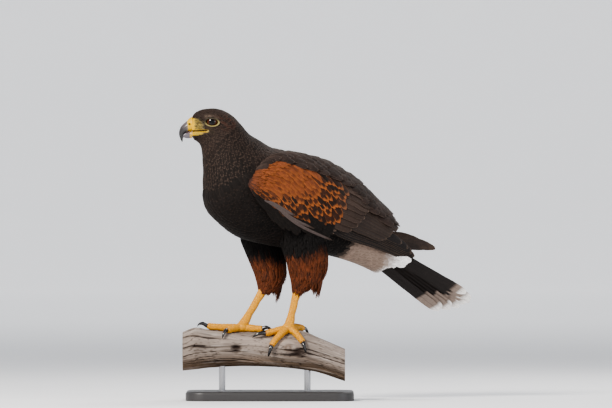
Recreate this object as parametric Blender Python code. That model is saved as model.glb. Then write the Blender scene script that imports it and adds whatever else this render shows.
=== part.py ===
# Harris hawk standing on a short length of branch, as a life-size display model.
# Millimetres are used throughout and turned into metres when a mesh is made.
# The bird faces -X, its left side is towards -Y, +Z is up, and the origin is the centre of the
# underside of the stand's base.

import math

import bmesh
import bpy
import numpy as np

METRES = 0.001
GAP = 0.35

# The bird's body is turned this far towards -Y, while its head looks straight along -X.
BODY_YAW = 28.0
BODY_PIVOT_X = 23.0

# One station of the body: top x and z, bottom x and z of its outline, half width, yaw and roll.
BODY_STATIONS = (
    (-120.6, 436.2, -119.8, 407.0, 9.5, 0, 0),
    (-116.2, 443.4, -117.0, 403.9, 14.0, 0, 0),
    (-107.0, 448.9, -113.5, 401.4, 18.5, 0, 0),
    (-94.5, 451.4, -110.4, 398.7, 21.5, 0, 0),
    (-80.6, 451.1, -108.2, 395.6, 23.0, 0, 0),
    (-66.7, 446.1, -106.6, 391.4, 24.0, 0, 0),
    (-54.2, 437.1, -105.4, 385.9, 26.0, 2, 0),
    (-43.4, 424.4, -104.5, 379.0, 29.0, 5, 0),
    (-31.8, 411.5, -103.5, 367.4, 34.0, 10, 0),
    (-17.1, 403.3, -102.3, 351.9, 41.0, 16, 0),
    (0.0, 394.2, -102.5, 328.0, 50.0, 22, 0),
    (21.7, 388.0, -97.0, 294.0, 57.0, 26, 0),
    (48.0, 386.0, -78.0, 270.5, 58.0, 28, 0),
    (75.0, 375.0, -50.0, 250.0, 56.0, 28, 0),
    (91.0, 350.0, -12.4, 240.0, 50.0, 28, 0),
    (108.0, 321.0, 31.0, 233.0, 42.0, 28, 0),
    (119.0, 292.0, 74.4, 227.5, 35.0, 28, 4),
    (141.0, 274.0, 108.5, 220.1, 31.0, 28, 10),
    (162.0, 256.0, 136.4, 211.0, 26.0, 28, 18),
    (184.0, 240.0, 160.0, 201.5, 26.0, 28, 26),
    (206.0, 222.0, 187.0, 191.0, 29.0, 28, 31),
    (224.0, 207.0, 208.0, 182.0, 31.0, 28, 33),
)
HEAD_END = 6.5
NECK_END = 10.3
TORSO_END = 16.0
COVERTS_END = 19.6

# Bill stations: top x and z, bottom x and z, half width.
CERE_STATIONS = (
    (-120.9, 438.2, -118.8, 416.5, 10.0),
    (-124.3, 436.2, -121.7, 416.6, 8.8),
    (-127.7, 432.6, -125.4, 416.3, 7.4),
)
UPPER_BILL_STATIONS = (
    (-127.9, 432.2, -125.6, 416.3, 6.9),
    (-133.3, 427.8, -128.7, 414.6, 6.0),
    (-138.0, 422.4, -131.0, 412.8, 4.9),
    (-140.1, 416.2, -132.8, 410.4, 3.6),
    (-140.1, 410.0, -133.9, 407.3, 2.4),
    (-138.4, 404.6, -134.4, 403.3, 1.5),
    (-136.1, 399.9, -134.8, 399.9, 0.5),
)
LOWER_BILL_STATIONS = (
    (-120.2, 414.6, -119.6, 405.6, 8.6),
    (-124.0, 413.6, -123.6, 405.2, 7.0),
    (-127.9, 412.0, -128.0, 405.2, 5.0),
    (-131.0, 409.8, -131.4, 405.9, 2.4),
)

EYE_X = -89.1
EYE_Z = 430.1
EYE_RADIUS = 8.6
EYE_SIDE = 13.2
LID_RADIUS = 9.6
BROW_HEIGHT = 2.6
BROW_LENGTH = 13.0
BROW_ABOVE_EYE = 9.0
MOUTH_FRONT_X = -121.0
MOUTH_BACK_X = -95.5
MOUTH_Z = 415.8
MOUTH_DEPTH = 2.2
MOUTH_HEIGHT = 0.8
NOSTRIL_X = -124.0
NOSTRIL_Z = 427.0
NOSTRIL_RADIUS = 1.5

# A wing follows a tube of its own over the body: centre x and z, half depth and half width.
WING_STATIONS = (
    (-58.0, 338.0, 48.0, 58.0),
    (-48.0, 338.0, 60.0, 66.0),
    (-36.0, 336.0, 70.0, 69.5),
    (-14.0, 328.0, 81.0, 71.5),
    (25.0, 304.0, 94.0, 72.0),
    (86.8, 276.0, 84.0, 64.0),
    (133.0, 260.0, 61.0, 53.0),
)
LEFT_TIP_STATIONS = ((176.0, 243.0, 43.0, 40.0), (210.0, 226.0, 31.0, 29.0), (238.0, 211.0, 21.0, 21.0))
RIGHT_TIP_STATIONS = ((178.0, 250.0, 43.0, 40.0), (222.0, 247.0, 31.0, 28.0), (270.0, 235.0, 21.0, 21.0))
WING_TILT = 28.0
# Wing edges as degrees above the widest line of the tube, at each wing station.
WING_LOWER_EDGE = (-6, -18, -25, -25, -17, -10, -8, -8, -14, -16)
WING_UPPER_EDGE = (20, 34, 42, 48, 56, 70, 80, 84, 76, 50)
WING_DEPTH = (24, 24, 26, 28, 30, 30, 18, 13, 9, 2.5)
WING_CORE_SINK = (1.0, 1.5, 2.0, 2.5, 3.5, 6.0, 8.5, 9.5, 9, 9)
WING_CORE_LENGTH = 6.4
# Tiers of wing feathers: count, root place and angle of the first and the last feather, tip place and
# angle of the first and the last, how far the middle tips reach past that line, half widths of the
# first and the last, and the lift at root and tip.
WING_TIERS = (
    (5, (4.8, -13), (5.2, 6), (7.8, -19), (7.4, 12), 0.55, 8.5, 9.0, -9.0, -5.6),
    (6, (4.8, 2), (5.3, 46), (6.5, -2), (7.0, 50), 0.1, 10.5, 11.5, -7.0, -2.6),
    (3, (5.0, 52), (5.2, 74), (6.95, 56), (6.6, 82), 0.0, 12.0, 11.0, -6.0, -0.4),
    (2, (3.0, -23), (3.2, -16), (4.8, -15), (4.4, -7), 0.0, 7.5, 7.5, -5.0, -1.4),
    (5, (4.1, -4), (4.2, 53), (5.3, -5), (5.6, 57), 0.1, 12.5, 13.0, -5.5, 0.2),
    (5, (3.0, -7), (3.2, 46), (4.3, -6), (4.6, 50), 0.0, 12.5, 13.0, -4.5, 0.4),
    (4, (1.2, -4), (1.6, 34), (3.2, -9), (3.3, 40), 0.0, 14.0, 14.5, -4.5, 0.0),
)
RIGHT_TIP_REACH = 0.8
# Many thin vanes are joined by the quick solver, as the exact one is slow on them.
FEATHER_SOLVER = "MANIFOLD"
VANE_THICKNESS = 0.7
VANE_CLEARANCE = 0.4
VANE_ARCH = 0.05
VANE_ROWS = (0.0, 0.35, 0.82, 1.0)
VANE_WIDTHS = (0.55, 1.0, 0.9, 0.34)
LOCK_WIDTHS = (0.7, 1.0, 0.6, 0.12)
WING_NEIGHBOURS = ("torso", "neck")

TAIL_TIP = (299.0, 145.5)
TAIL_LENGTH = 215.0
TAIL_DROOP = 30.0
TAIL_ROLL = 31.0
TAIL_HALF_WIDTH_TIP = 39.5
TAIL_HALF_WIDTH_ROOT = 21.0
TAIL_FEATHERS = 12
TAIL_FEATHER_HALF_WIDTH = 10.5
TAIL_FEATHER_STEP = 1.15
TAIL_CORE_LENGTH = 78.0
TAIL_CORE_THICKNESS = 8.6
TAIL_CORE_HALF_WIDTHS = (22.0, 31.0)
TAIL_ENVELOPE = 5.0
TAIL_ENVELOPE_HALF_WIDTHS = (28.0, 45.0)
# Tail coverts round the body: count, first and last angle, root and tip place, half width.
COVERT_RINGS = ((4, 40.0, 140.0, 18.9, 20.55, 11.0), (4, 215.0, 325.0, 18.7, 20.3, 12.0))

# Thigh stations, from the hip down: centre x, y and z, half size along x and along y.
LEFT_THIGH_STATIONS = (
    (40.0, -24.0, 290.0, 33.0, 27.0),
    (49.0, -25.0, 256.0, 36.0, 27.0),
    (54.6, -25.0, 232.0, 34.0, 26.0),
    (57.7, -25.0, 214.0, 31.0, 24.0),
    (57.7, -25.0, 198.4, 27.5, 20.5),
    (54.6, -25.0, 184.5, 21.0, 16.0),
    (46.5, -25.0, 173.0, 11.5, 10.5),
    (42.5, -25.0, 165.5, 6.6, 6.6),
)
RIGHT_THIGH_STATIONS = (
    (-14.0, 28.0, 286.0, 31.0, 27.0),
    (-12.0, 27.0, 251.0, 33.0, 27.0),
    (-8.5, 25.0, 232.0, 30.0, 26.0),
    (-4.0, 22.0, 214.0, 27.0, 23.0),
    (-1.0, 18.0, 198.4, 23.5, 20.0),
    (-0.5, 14.0, 184.5, 19.5, 16.0),
    (-5.0, 9.0, 173.0, 12.5, 10.5),
    (-10.0, 6.0, 165.5, 6.6, 6.6),
)
# Leg feather locks: count, first and last angle, root and tip place, half width and lift of the tips.
THIGH_LOCKS = ((7, -20.0, 200.0, 3.9, 5.9, 5.2, 3.0),)
TARSUS_RADIUS = 5.3

# Perch stations along x: centre z and radius. Its axis keeps one y.
PERCH_Y = -16.0
PERCH_STATIONS = (
    (-135.0, 76.7, 30.2),
    (-116.0, 81.0, 32.6),
    (-93.0, 80.6, 29.5),
    (-46.5, 79.8, 27.1),
    (0.0, 79.0, 28.4),
    (46.5, 78.3, 30.0),
    (77.5, 70.5, 27.1),
    (116.0, 55.8, 25.6),
)
KNOT_X = 28.0
KNOT_ANGLE = 5.0
KNOT_HEIGHT = 3.0

# Feet: the x along the perch and the angle round it from its top, towards -Y, in degrees.
LEFT_HUB = (28.0, 22.0)
RIGHT_HUB = (-43.0, -4.0)
# Each toe: x and angle of its end, then of its claw's tip.
LEFT_TOES = ((-6.0, 40.0, -27.0, 52.0), (3.0, 78.0, -3.0, 112.0), (50.0, 68.0, 55.0, 96.0), (50.0, -14.0, 60.0, -44.0))
RIGHT_TOES = ((-95.0, 2.0, -112.0, 12.0), (-65.0, 28.0, -72.0, 58.0), (-12.0, 14.0, 4.0, 20.0), (-40.0, -62.0, -38.0, -98.0))
HUB_SIZE = (10.5, 9.0, 9.0)
HUB_LIFT = 7.0
TOE_RADIUS_ROOT = 5.4
TOE_RADIUS_END = 4.2
CLAW_RADIUS = 3.3

BASE_LENGTH = 260.0
BASE_WIDTH = 176.0
BASE_HEIGHT = 14.0
BASE_CORNER = 30.0
ROD_RADIUS = 5.0
ROD_PLACES = (-74.0, 58.0)
ROD_SOCKET = 10.0
ROD_FOOT = 4.0


def clear_scene():
    for thing in list(bpy.data.objects):
        bpy.data.objects.remove(thing, do_unlink=True)


def material(name, colour, roughness):
    made = bpy.data.materials.new(name)
    made.use_nodes = True
    shader = made.node_tree.nodes["Principled BSDF"]
    shader.inputs["Base Color"].default_value = (*colour, 1.0)
    shader.inputs["Roughness"].default_value = roughness
    shader.inputs["Metallic"].default_value = 0.0
    made.diffuse_color = (*colour, 1.0)
    return made


def mesh_object(name, points, faces, finish=None):
    """An object from points in millimetres, its faces turned outwards."""
    mesh = bpy.data.meshes.new(name)
    mesh.from_pydata([tuple(np.asarray(point) * METRES) for point in points], [], faces)
    work = bmesh.new()
    work.from_mesh(mesh)
    bmesh.ops.recalc_face_normals(work, faces=work.faces)
    if work.calc_volume(signed=True) < 0:
        bmesh.ops.reverse_faces(work, faces=work.faces)
    work.to_mesh(mesh)
    work.free()
    made = bpy.data.objects.new(name, mesh)
    bpy.context.scene.collection.objects.link(made)
    if finish:
        mesh.materials.append(finish)
    return made


def smooth_value(values, place):
    """Catmull-Rom value between hand-placed stations, along which place counts from 0."""
    values = np.asarray(values, float)
    last = len(values) - 1
    place = min(max(place, 0.0), float(last))
    index = min(int(place), last - 1)
    part = place - index
    before = values[index - 1] if index else 2 * values[0] - values[1]
    start, end = values[index], values[index + 1]
    after = values[index + 2] if index + 2 <= last else 2 * values[last] - values[last - 1]
    return 0.5 * (
        2 * start
        + (end - before) * part
        + (2 * before - 5 * start + 4 * end - after) * part**2
        + (3 * start - before - 3 * end + after) * part**3
    )


def unit(vector):
    vector = np.asarray(vector, float)
    return vector / np.linalg.norm(vector)


class Tube:
    """A body of elliptical sections through stations: centre, up and left axes, half depth, half width."""

    def __init__(self, centres, ups, lefts, depths, widths):
        self.centres = np.array(centres, float)
        self.ups = np.array(ups, float)
        self.lefts = np.array(lefts, float)
        self.depths = np.array(depths, float)
        self.widths = np.array(widths, float)

    def section(self, place):
        up = unit(smooth_value(self.ups, place))
        left = smooth_value(self.lefts, place)
        left = unit(left - up * np.dot(up, left))
        return (
            smooth_value(self.centres, place),
            up,
            left,
            float(smooth_value(self.depths, place)),
            float(smooth_value(self.widths, place)),
        )

    def point(self, place, degrees, lift=0.0):
        """A point of the skin: 0 degrees is the left side, 90 the top, 180 the right side."""
        centre, up, left, depth, width = self.section(place)
        angle = math.radians(degrees)
        sine, cosine = math.sin(angle), math.cos(angle)
        outward = unit(up * sine / depth + left * cosine / width)
        return centre + up * depth * sine + left * width * cosine + outward * lift

    def along(self, place):
        """The unit direction of the tube's centre line, towards its end."""
        ahead = smooth_value(self.centres, place + 0.05) - smooth_value(self.centres, place - 0.05)
        return unit(ahead)


def ring_mesh(rings):
    """Points and faces of a closed loft through equal rings, with a fan over each end."""
    sides = len(rings[0])
    points = [point for ring in rings for point in ring]
    faces = []
    for row in range(len(rings) - 1):
        for side in range(sides):
            here = row * sides + side
            beside = row * sides + (side + 1) % sides
            faces.append((here, beside, beside + sides))
            faces.append((here, beside + sides, here + sides))
    for ring, start in ((rings[0], 0), (rings[-1], (len(rings) - 1) * sides)):
        points.append(np.mean(ring, axis=0))
        middle = len(points) - 1
        for side in range(sides):
            faces.append((start + (side + 1) % sides, start + side, middle))
    return points, faces


def tube_rings(tube, start, end, rows, sides, lift=0.0, shift_start=0.0, shift_end=0.0):
    """Rings of a tube from start to end. Each end ring may be shifted along the tube, for a thin gap."""
    rings = []
    for row in range(rows + 1):
        place = start + (end - start) * row / rows
        shift = shift_start if row == 0 else shift_end if row == rows else 0.0
        move = tube.along(place) * shift
        rings.append([tube.point(place, 360.0 * side / sides, lift) + move for side in range(sides)])
    return rings


def slab_mesh(rows, columns, place):
    """A closed plate of two like grids. place(row, column, face) gives a point, face 1 out and -1 in."""
    size = (rows + 1) * (columns + 1)
    points = [
        place(row, column, face) for face in (1, -1) for row in range(rows + 1) for column in range(columns + 1)
    ]

    def number(row, column):
        return row * (columns + 1) + column

    faces = []
    for row in range(rows):
        for column in range(columns):
            a, b = number(row, column), number(row, column + 1)
            c, d = number(row + 1, column + 1), number(row + 1, column)
            for triangle in ((a, b, c), (a, c, d)):
                faces.append(triangle)
                faces.append(tuple(size + index for index in reversed(triangle)))
    rim = [number(0, column) for column in range(columns)]
    rim += [number(row, columns) for row in range(rows)]
    rim += [number(rows, column) for column in range(columns, 0, -1)]
    rim += [number(row, 0) for row in range(rows, 0, -1)]
    for here, beyond in zip(rim, rim[1:] + rim[:1]):
        faces.append((beyond, here, size + here))
        faces.append((beyond, size + here, size + beyond))
    return points, faces


def ball_mesh(centre, axes, sizes, rows=8, sides=14):
    """Points and faces of an ellipsoid with the given axes and half sizes."""
    rings = []
    for row in range(1, rows):
        polar = math.pi * row / rows
        rings.append(
            [
                centre
                + axes[0] * sizes[0] * math.cos(polar)
                + axes[1] * sizes[1] * math.sin(polar) * math.cos(2 * math.pi * side / sides)
                + axes[2] * sizes[2] * math.sin(polar) * math.sin(2 * math.pi * side / sides)
                for side in range(sides)
            ]
        )
    points, faces = ring_mesh(rings)
    points[-2] = centre + axes[0] * sizes[0]
    points[-1] = centre - axes[0] * sizes[0]
    return points, faces


def replace_mesh(target, mesh):
    old = target.data
    for finish in old.materials:
        if finish and finish.name not in mesh.materials:
            mesh.materials.append(finish)
    target.data = mesh
    bpy.data.meshes.remove(old)


def keep_largest(target):
    """Drops every loose surface but the largest, walking from face to face over shared edges."""
    work = bmesh.new()
    work.from_mesh(target.data)
    left = set(work.faces)
    groups = []
    while left:
        stack = [left.pop()]
        group = list(stack)
        while stack:
            for edge in stack.pop().edges:
                for face in edge.link_faces:
                    if face in left:
                        left.remove(face)
                        group.append(face)
                        stack.append(face)
        groups.append(group)
    groups.sort(key=lambda group: sum(face.calc_area() for face in group))
    for group in groups[:-1]:
        bmesh.ops.delete(work, geom=group, context="FACES")
    bmesh.ops.triangulate(work, faces=work.faces)
    work.to_mesh(target.data)
    work.free()


def boolean(target, others, operation, solver="EXACT"):
    """Joins closed meshes to the target, or cuts them from it, and removes them."""
    gathered = bpy.data.collections.new("gathered")
    bpy.context.scene.collection.children.link(gathered)
    for other in others:
        for holder in list(other.users_collection):
            holder.objects.unlink(other)
        gathered.objects.link(other)
    modifier = target.modifiers.new("Boolean", "BOOLEAN")
    modifier.operand_type = "COLLECTION"
    modifier.collection = gathered
    modifier.operation = operation
    modifier.solver = solver
    bpy.context.view_layer.update()
    graph = bpy.context.evaluated_depsgraph_get()
    mesh = bpy.data.meshes.new_from_object(target.evaluated_get(graph))
    target.modifiers.remove(modifier)
    replace_mesh(target, mesh)
    for other in others:
        bpy.data.objects.remove(other, do_unlink=True)
    bpy.data.collections.remove(gathered)
    keep_largest(target)


def fuse(target, others, solver="EXACT"):
    boolean(target, others, "UNION", solver)


def cut(target, others, solver="EXACT"):
    boolean(target, others, "DIFFERENCE", solver)


def fattened(source, amount=GAP):
    """A copy of an object, swollen along its normals, to cut a neighbour clear of it."""
    work = bmesh.new()
    work.from_mesh(source.data)
    work.normal_update()
    for vertex in work.verts:
        vertex.co += vertex.normal * vertex.calc_shell_factor() * amount * METRES
    mesh = bpy.data.meshes.new("cutter")
    work.to_mesh(mesh)
    work.free()
    made = bpy.data.objects.new("cutter", mesh)
    made.hide_render = True
    made.display_type = "WIRE"
    bpy.context.scene.collection.objects.link(made)
    return made


# Feathers

def vane(skin, root, tip, half_width, lift_root, lift_tip, roll=0.0, widths=VANE_WIDTHS, columns=2):
    """A thin feather over a skin, from root to tip, each a place and an angle on it."""
    tilt = math.radians(roll)

    def spine(share):
        place = root[0] + (tip[0] - root[0]) * share
        degrees = root[1] + (tip[1] - root[1]) * share
        lift = lift_root + (lift_tip - lift_root) * min(1.0, 1.6 * share)
        return place, degrees, lift

    stations = []
    for share, width in zip(VANE_ROWS, widths):
        place, degrees, lift = spine(share)
        middle = skin(place, degrees, lift)
        out = unit(skin(place, degrees, lift + 1.0) - middle)
        ahead = skin(*spine(min(share + 0.05, 1.0))) - skin(*spine(share - 0.05))
        across = unit(np.cross(ahead, out))
        stations.append((middle, out, across * math.cos(tilt) + out * math.sin(tilt), half_width * width))

    def place(row, column, face):
        middle, out, across, half = stations[row]
        side = 2.0 * column / columns - 1.0
        drop = VANE_ARCH * half * side * side * (1.0 + half / 10.0)
        return middle + across * half * side + out * (face * VANE_THICKNESS / 2 - drop)

    return mesh_object("vane", *slab_mesh(len(VANE_ROWS) - 1, columns, place))


def between(first, last, share):
    return tuple(a + (b - a) * share for a, b in zip(first, last))


def shingled(
    skin, count, root_a, root_b, tip_a, tip_b, bulge, half_a, half_b, lift_root, lift_tip, extra=0.0, hand=1
):
    """A tier of vanes, each rolled just enough for its edge to lie clear over its neighbour's."""

    def ends(share):
        tip = between(tip_a, tip_b, share)
        return between(root_a, root_b, share), (tip[0] + bulge * math.sin(math.pi * share) + extra, tip[1])

    vanes = []
    for number in range(count):
        share = number / (count - 1)
        root, tip = ends(share)
        near, beside = (ends(share)[1], ends(share + 0.2 / (count - 1))[1])
        spacing = 5.0 * np.linalg.norm(skin(*beside, lift_tip) - skin(*near, lift_tip))
        roll = math.degrees(math.asin(min(0.25, (VANE_THICKNESS + VANE_CLEARANCE) / spacing)))
        half = half_a + (half_b - half_a) * share
        columns = 2 if tip[0] - root[0] > 1.5 else 1
        vanes.append(vane(skin, root, tip, half, lift_root, lift_tip, hand * roll, VANE_WIDTHS, columns))
    return vanes


# Body tube

def body_tube():
    centres, ups, lefts, depths, widths = [], [], [], [], []
    for top_x, top_z, low_x, low_z, half_width, yaw, roll in BODY_STATIONS:
        turn, tilt = math.radians(yaw), math.radians(roll)
        across, height = top_x - low_x, top_z - low_z
        up = unit((across, across * math.tan(turn), height))
        left = np.array((math.sin(turn), -math.cos(turn), 0.0))
        centres.append(((top_x + low_x) / 2, 0.0, (top_z + low_z) / 2))
        ups.append(up * math.cos(tilt) - left * math.sin(tilt))
        lefts.append(left * math.cos(tilt) + up * math.sin(tilt))
        depths.append(math.hypot(across, height) / 2)
        widths.append(half_width)
    centres = np.array(centres)
    for index, station in enumerate(BODY_STATIONS):
        if station[5] == BODY_YAW:
            centres[index, 1] = sagittal_y(centres[index, 0])
    for index in range(len(centres) - 1, -1, -1):
        if BODY_STATIONS[index][5] != BODY_YAW:
            slope = math.tan(math.radians((BODY_STATIONS[index][5] + BODY_STATIONS[index + 1][5]) / 2))
            step = centres[index + 1, 0] - centres[index, 0]
            centres[index, 1] = centres[index + 1, 1] - slope * step
    return Tube(centres, ups, lefts, depths, widths)


def sagittal_y(x):
    """The y of the body's middle plane at x."""
    return (x - BODY_PIVOT_X) * math.tan(math.radians(BODY_YAW))


def body_piece(name, start, end, rows, sides, finish, first=False, last=False):
    rings = tube_rings(
        BODY, start, end, rows, sides, 0.0, 0.0 if first else GAP / 2, 0.0 if last else -GAP / 2
    )
    return mesh_object(name, *ring_mesh(rings), finish)


def side_tube(stations, y):
    """A tube whose stations give the outline seen from the side, for the bill."""
    centres = [((a + c) / 2, y, (b + d) / 2) for a, b, c, d, _ in stations]
    ups = [unit((a - c, 0.0, b - d)) for a, b, c, d, _ in stations]
    depths = [math.hypot(a - c, b - d) / 2 for a, b, c, d, _ in stations]
    widths = [station[4] for station in stations]
    return Tube(centres, ups, [(0.0, -1.0, 0.0)] * len(stations), depths, widths)


# Head

def make_head(finish):
    """The head with its brow ridges, the sockets of the eyes with their lids, and the line of the mouth."""
    rows, sides = 12, 22
    rings = tube_rings(BODY, 0.0, HEAD_END, rows, sides, 0.0, 0.0, -GAP / 2)
    head_y = BODY.section(3.0)[0][1]
    shaped = []
    for ring in rings:
        new_ring = []
        for point in ring:
            side = math.copysign(1.0, point[1] - head_y)
            along = (point[0] - EYE_X) / BROW_LENGTH
            above = (point[2] - EYE_Z - BROW_ABOVE_EYE) / 4.5
            bulge = BROW_HEIGHT * math.exp(-(along**2) - above**2)
            new_ring.append(point + np.array((0.0, side * bulge, 0.25 * bulge)))
        shaped.append(new_ring)
    head = mesh_object("head", *ring_mesh(shaped), finish)
    lids = []
    sockets = []
    axes = np.eye(3)
    eye_axes = axes[[1, 0, 2]]
    for side in (-1, 1):
        centre = np.array((EYE_X, head_y + side * EYE_SIDE, EYE_Z))
        lid_size = np.array((LID_RADIUS + 0.6, LID_RADIUS - 0.6, LID_RADIUS - 0.9))
        lid = mesh_object("lid", *ball_mesh(centre, axes, lid_size, 6, 14))
        socket = mesh_object("socket", *ball_mesh(centre, eye_axes, [EYE_RADIUS + GAP] * 3, 8, 12))
        opening = mesh_object(
            "opening",
            *ball_mesh(centre + np.array((0.0, side * (LID_RADIUS - 0.8), 0.0)), axes, (9.2, 6.6, 6.9), 6, 14),
        )
        lids.append(lid)
        sockets += [socket, opening]
    fuse(head, lids)
    cut(head, sockets)
    grooves = []
    for side in (-1, 1):
        rings = []
        steps = 6
        for step in range(steps + 1):
            x = MOUTH_FRONT_X - 1.0 + (MOUTH_BACK_X - MOUTH_FRONT_X + 1.0) * step / steps
            skin = head_half_width(x, MOUTH_Z)
            z = MOUTH_Z + 0.04 * (x - MOUTH_FRONT_X)
            height = MOUTH_HEIGHT * (1.0 - 0.6 * step / steps)
            rings.append(
                [
                    np.array((x, head_y + side * (skin + 3.0), z + height)),
                    np.array((x, head_y + side * (skin + 3.0), z - height)),
                    np.array((x, head_y + side * (skin - MOUTH_DEPTH), z)),
                ]
            )
        grooves.append(mesh_object("groove", *ring_mesh(rings)))
    cut(head, grooves)
    return head


def head_half_width(x, z):
    """Half width of the head at a place seen from the side, found along the skin."""
    best = None
    for row in range(61):
        place = HEAD_END * row / 60
        for step in range(37):
            degrees = -90 + 5 * step
            point = BODY.point(place, degrees)
            miss = math.hypot(point[0] - x, point[2] - z)
            if best is None or miss < best[0]:
                best = (miss, abs(point[1] - BODY.section(3.0)[0][1]))
    return best[1]


def make_eyes(finish):
    head_y = BODY.section(3.0)[0][1]
    for name, side in (("eye_left", -1), ("eye_right", 1)):
        centre = np.array((EYE_X, head_y + side * EYE_SIDE, EYE_Z))
        mesh_object(name, *ball_mesh(centre, np.eye(3)[[1, 0, 2]], [EYE_RADIUS] * 3, 8, 12), finish)


def make_bill(cere_finish, horn_finish):
    head_y = BODY.section(1.0)[0][1]
    cere_tube = side_tube(CERE_STATIONS, head_y)
    cere = mesh_object(
        "cere", *ring_mesh(tube_rings(cere_tube, 0, 2, 3, 12, 0.0, -GAP, -GAP / 2)), cere_finish
    )
    nostrils = []
    for side in (-1, 1):
        centre = np.array((NOSTRIL_X, head_y + side * 8.2, NOSTRIL_Z))
        nostrils.append(mesh_object("nostril", *ball_mesh(centre, np.eye(3), [NOSTRIL_RADIUS] * 3, 5, 8)))
    cut(cere, nostrils)
    upper_tube = side_tube(UPPER_BILL_STATIONS, head_y)
    mesh_object(
        "bill_upper", *ring_mesh(tube_rings(upper_tube, 0, 6, 9, 12, 0.0, GAP / 2, 0.0)), horn_finish
    )
    lower_tube = side_tube(LOWER_BILL_STATIONS, head_y)
    lower = mesh_object("bill_lower", *ring_mesh(tube_rings(lower_tube, 0, 3, 5, 14)), horn_finish)
    cut(cere, [fattened(bpy.data.objects["head"])])
    cut(lower, [fattened(bpy.data.objects["head"]), fattened(cere), fattened(bpy.data.objects["bill_upper"])])


# Wings

def wing_tube(tips):
    stations = WING_STATIONS + tips
    tilt, turn = math.radians(WING_TILT), math.radians(BODY_YAW)
    back = (math.cos(turn), math.sin(turn))
    up = (math.sin(tilt) * back[0], math.sin(tilt) * back[1], math.cos(tilt))
    left = (math.sin(turn), -math.cos(turn), 0.0)
    centres = [(x, sagittal_y(x), z) for x, z, _, _ in stations]
    return Tube(
        centres, [up] * len(stations), [left] * len(stations), [s[2] for s in stations], [s[3] for s in stations]
    )


def wing_angle(side, degrees):
    """Degrees above the widest line, turned into the tube's own degrees on this side."""
    return degrees if side == "left" else 180.0 - degrees


def wing_core(name, tube, side, length, finish):
    rows, columns = 11, 6

    def place(row, column, face):
        at = length * row / rows
        low, high = smooth_value(WING_LOWER_EDGE, at), smooth_value(WING_UPPER_EDGE, at)
        degrees = low + (high - low) * column / columns
        depth = float(smooth_value(WING_DEPTH, at))
        edge = min(column, columns - column, row * 1.5) / 2.0
        rise = -2.6 * max(0.0, 1.0 - edge) ** 2
        lift = rise - float(smooth_value(WING_CORE_SINK, at)) if face == 1 else -depth
        return tube.point(at, wing_angle(side, degrees), lift)

    return mesh_object(name, *slab_mesh(rows, columns, place), finish)


def wing_feathers(tube, side, reach):
    """Vanes of every tier of one wing."""

    def skin(place, degrees, lift):
        return tube.point(place, wing_angle(side, degrees), lift)

    vanes = []
    for tier in WING_TIERS:
        extra = reach if tier is WING_TIERS[0] else 0.0
        vanes += shingled(skin, *tier, extra, 1 if side == "left" else -1)
    return vanes


def make_wing(side, tips, reach, finish):
    tube = wing_tube(tips)
    wing = wing_core("wing_" + side, tube, side, WING_CORE_LENGTH, finish)
    fuse(wing, wing_feathers(tube, side, reach), FEATHER_SOLVER)
    blockers = [fattened(bpy.data.objects[name]) for name in WING_NEIGHBOURS + ("thigh_" + side,)]
    blockers += [fattened(bpy.data.objects["tail_coverts"], 2 * GAP), tail_envelope()]
    cut(wing, blockers, FEATHER_SOLVER)
    return wing


# Tail

def tail_axes():
    droop, turn, roll = (math.radians(a) for a in (TAIL_DROOP, BODY_YAW, TAIL_ROLL))
    axis = np.array(
        (math.cos(droop) * math.cos(turn), math.cos(droop) * math.sin(turn), -math.sin(droop))
    )
    left = np.array((math.sin(turn), -math.cos(turn), 0.0))
    up = unit(np.cross(axis, left))
    if up[2] < 0:
        up = -up
    return axis, up * math.cos(roll) - left * math.sin(roll), left * math.cos(roll) + up * math.sin(roll)


def tail_root():
    axis, _, _ = tail_axes()
    start_x = TAIL_TIP[0] - axis[0] * TAIL_LENGTH
    start_z = TAIL_TIP[1] - axis[2] * TAIL_LENGTH
    return np.array((start_x, sagittal_y(start_x), start_z))


def make_tail(finish):
    """Twelve overlapping tail feathers, the middle pair uppermost, joined by a short core at their roots."""
    axis, up, left = tail_axes()
    root = tail_root()

    def core(row, column, face):
        along = TAIL_CORE_LENGTH * row / 3
        side = column / 2 - 1.0
        half = TAIL_CORE_HALF_WIDTHS[0] + (TAIL_CORE_HALF_WIDTHS[1] - TAIL_CORE_HALF_WIDTHS[0]) * row / 3
        thick = TAIL_CORE_THICKNESS * (1 - 0.25 * side * side) / 2
        return root + axis * along + left * half * side + up * face * thick

    tail = mesh_object("tail", *slab_mesh(3, 4, core), finish)
    feathers = []
    middle = (TAIL_FEATHERS - 1) / 2
    for number in range(TAIL_FEATHERS):
        spread = (number - middle) / middle
        side_root = spread * (TAIL_HALF_WIDTH_ROOT - 8.0)
        side_tip = spread * (TAIL_HALF_WIDTH_TIP - TAIL_FEATHER_HALF_WIDTH * 0.75)
        reach = TAIL_LENGTH * (1.0 - 0.12 * spread**2)
        height = TAIL_FEATHER_STEP * (middle / 2 - abs(number - middle))

        def place(row, column, face):
            share = VANE_ROWS[row]
            half = TAIL_FEATHER_HALF_WIDTH * VANE_WIDTHS[row]
            side = side_root + (side_tip - side_root) * share + (column - 1) * half
            lift = height * min(1.0, 0.4 + share) - 0.25 * (column - 1) ** 2
            slant = 0.35 * (column - 1) * (-1 if spread > 0 else 1)
            return root + axis * reach * share + left * side + up * (lift + slant + face * VANE_THICKNESS / 2)

        feathers.append(mesh_object("rectrix", *slab_mesh(len(VANE_ROWS) - 1, 2, place)))
    fuse(tail, feathers, FEATHER_SOLVER)
    return tail


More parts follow.
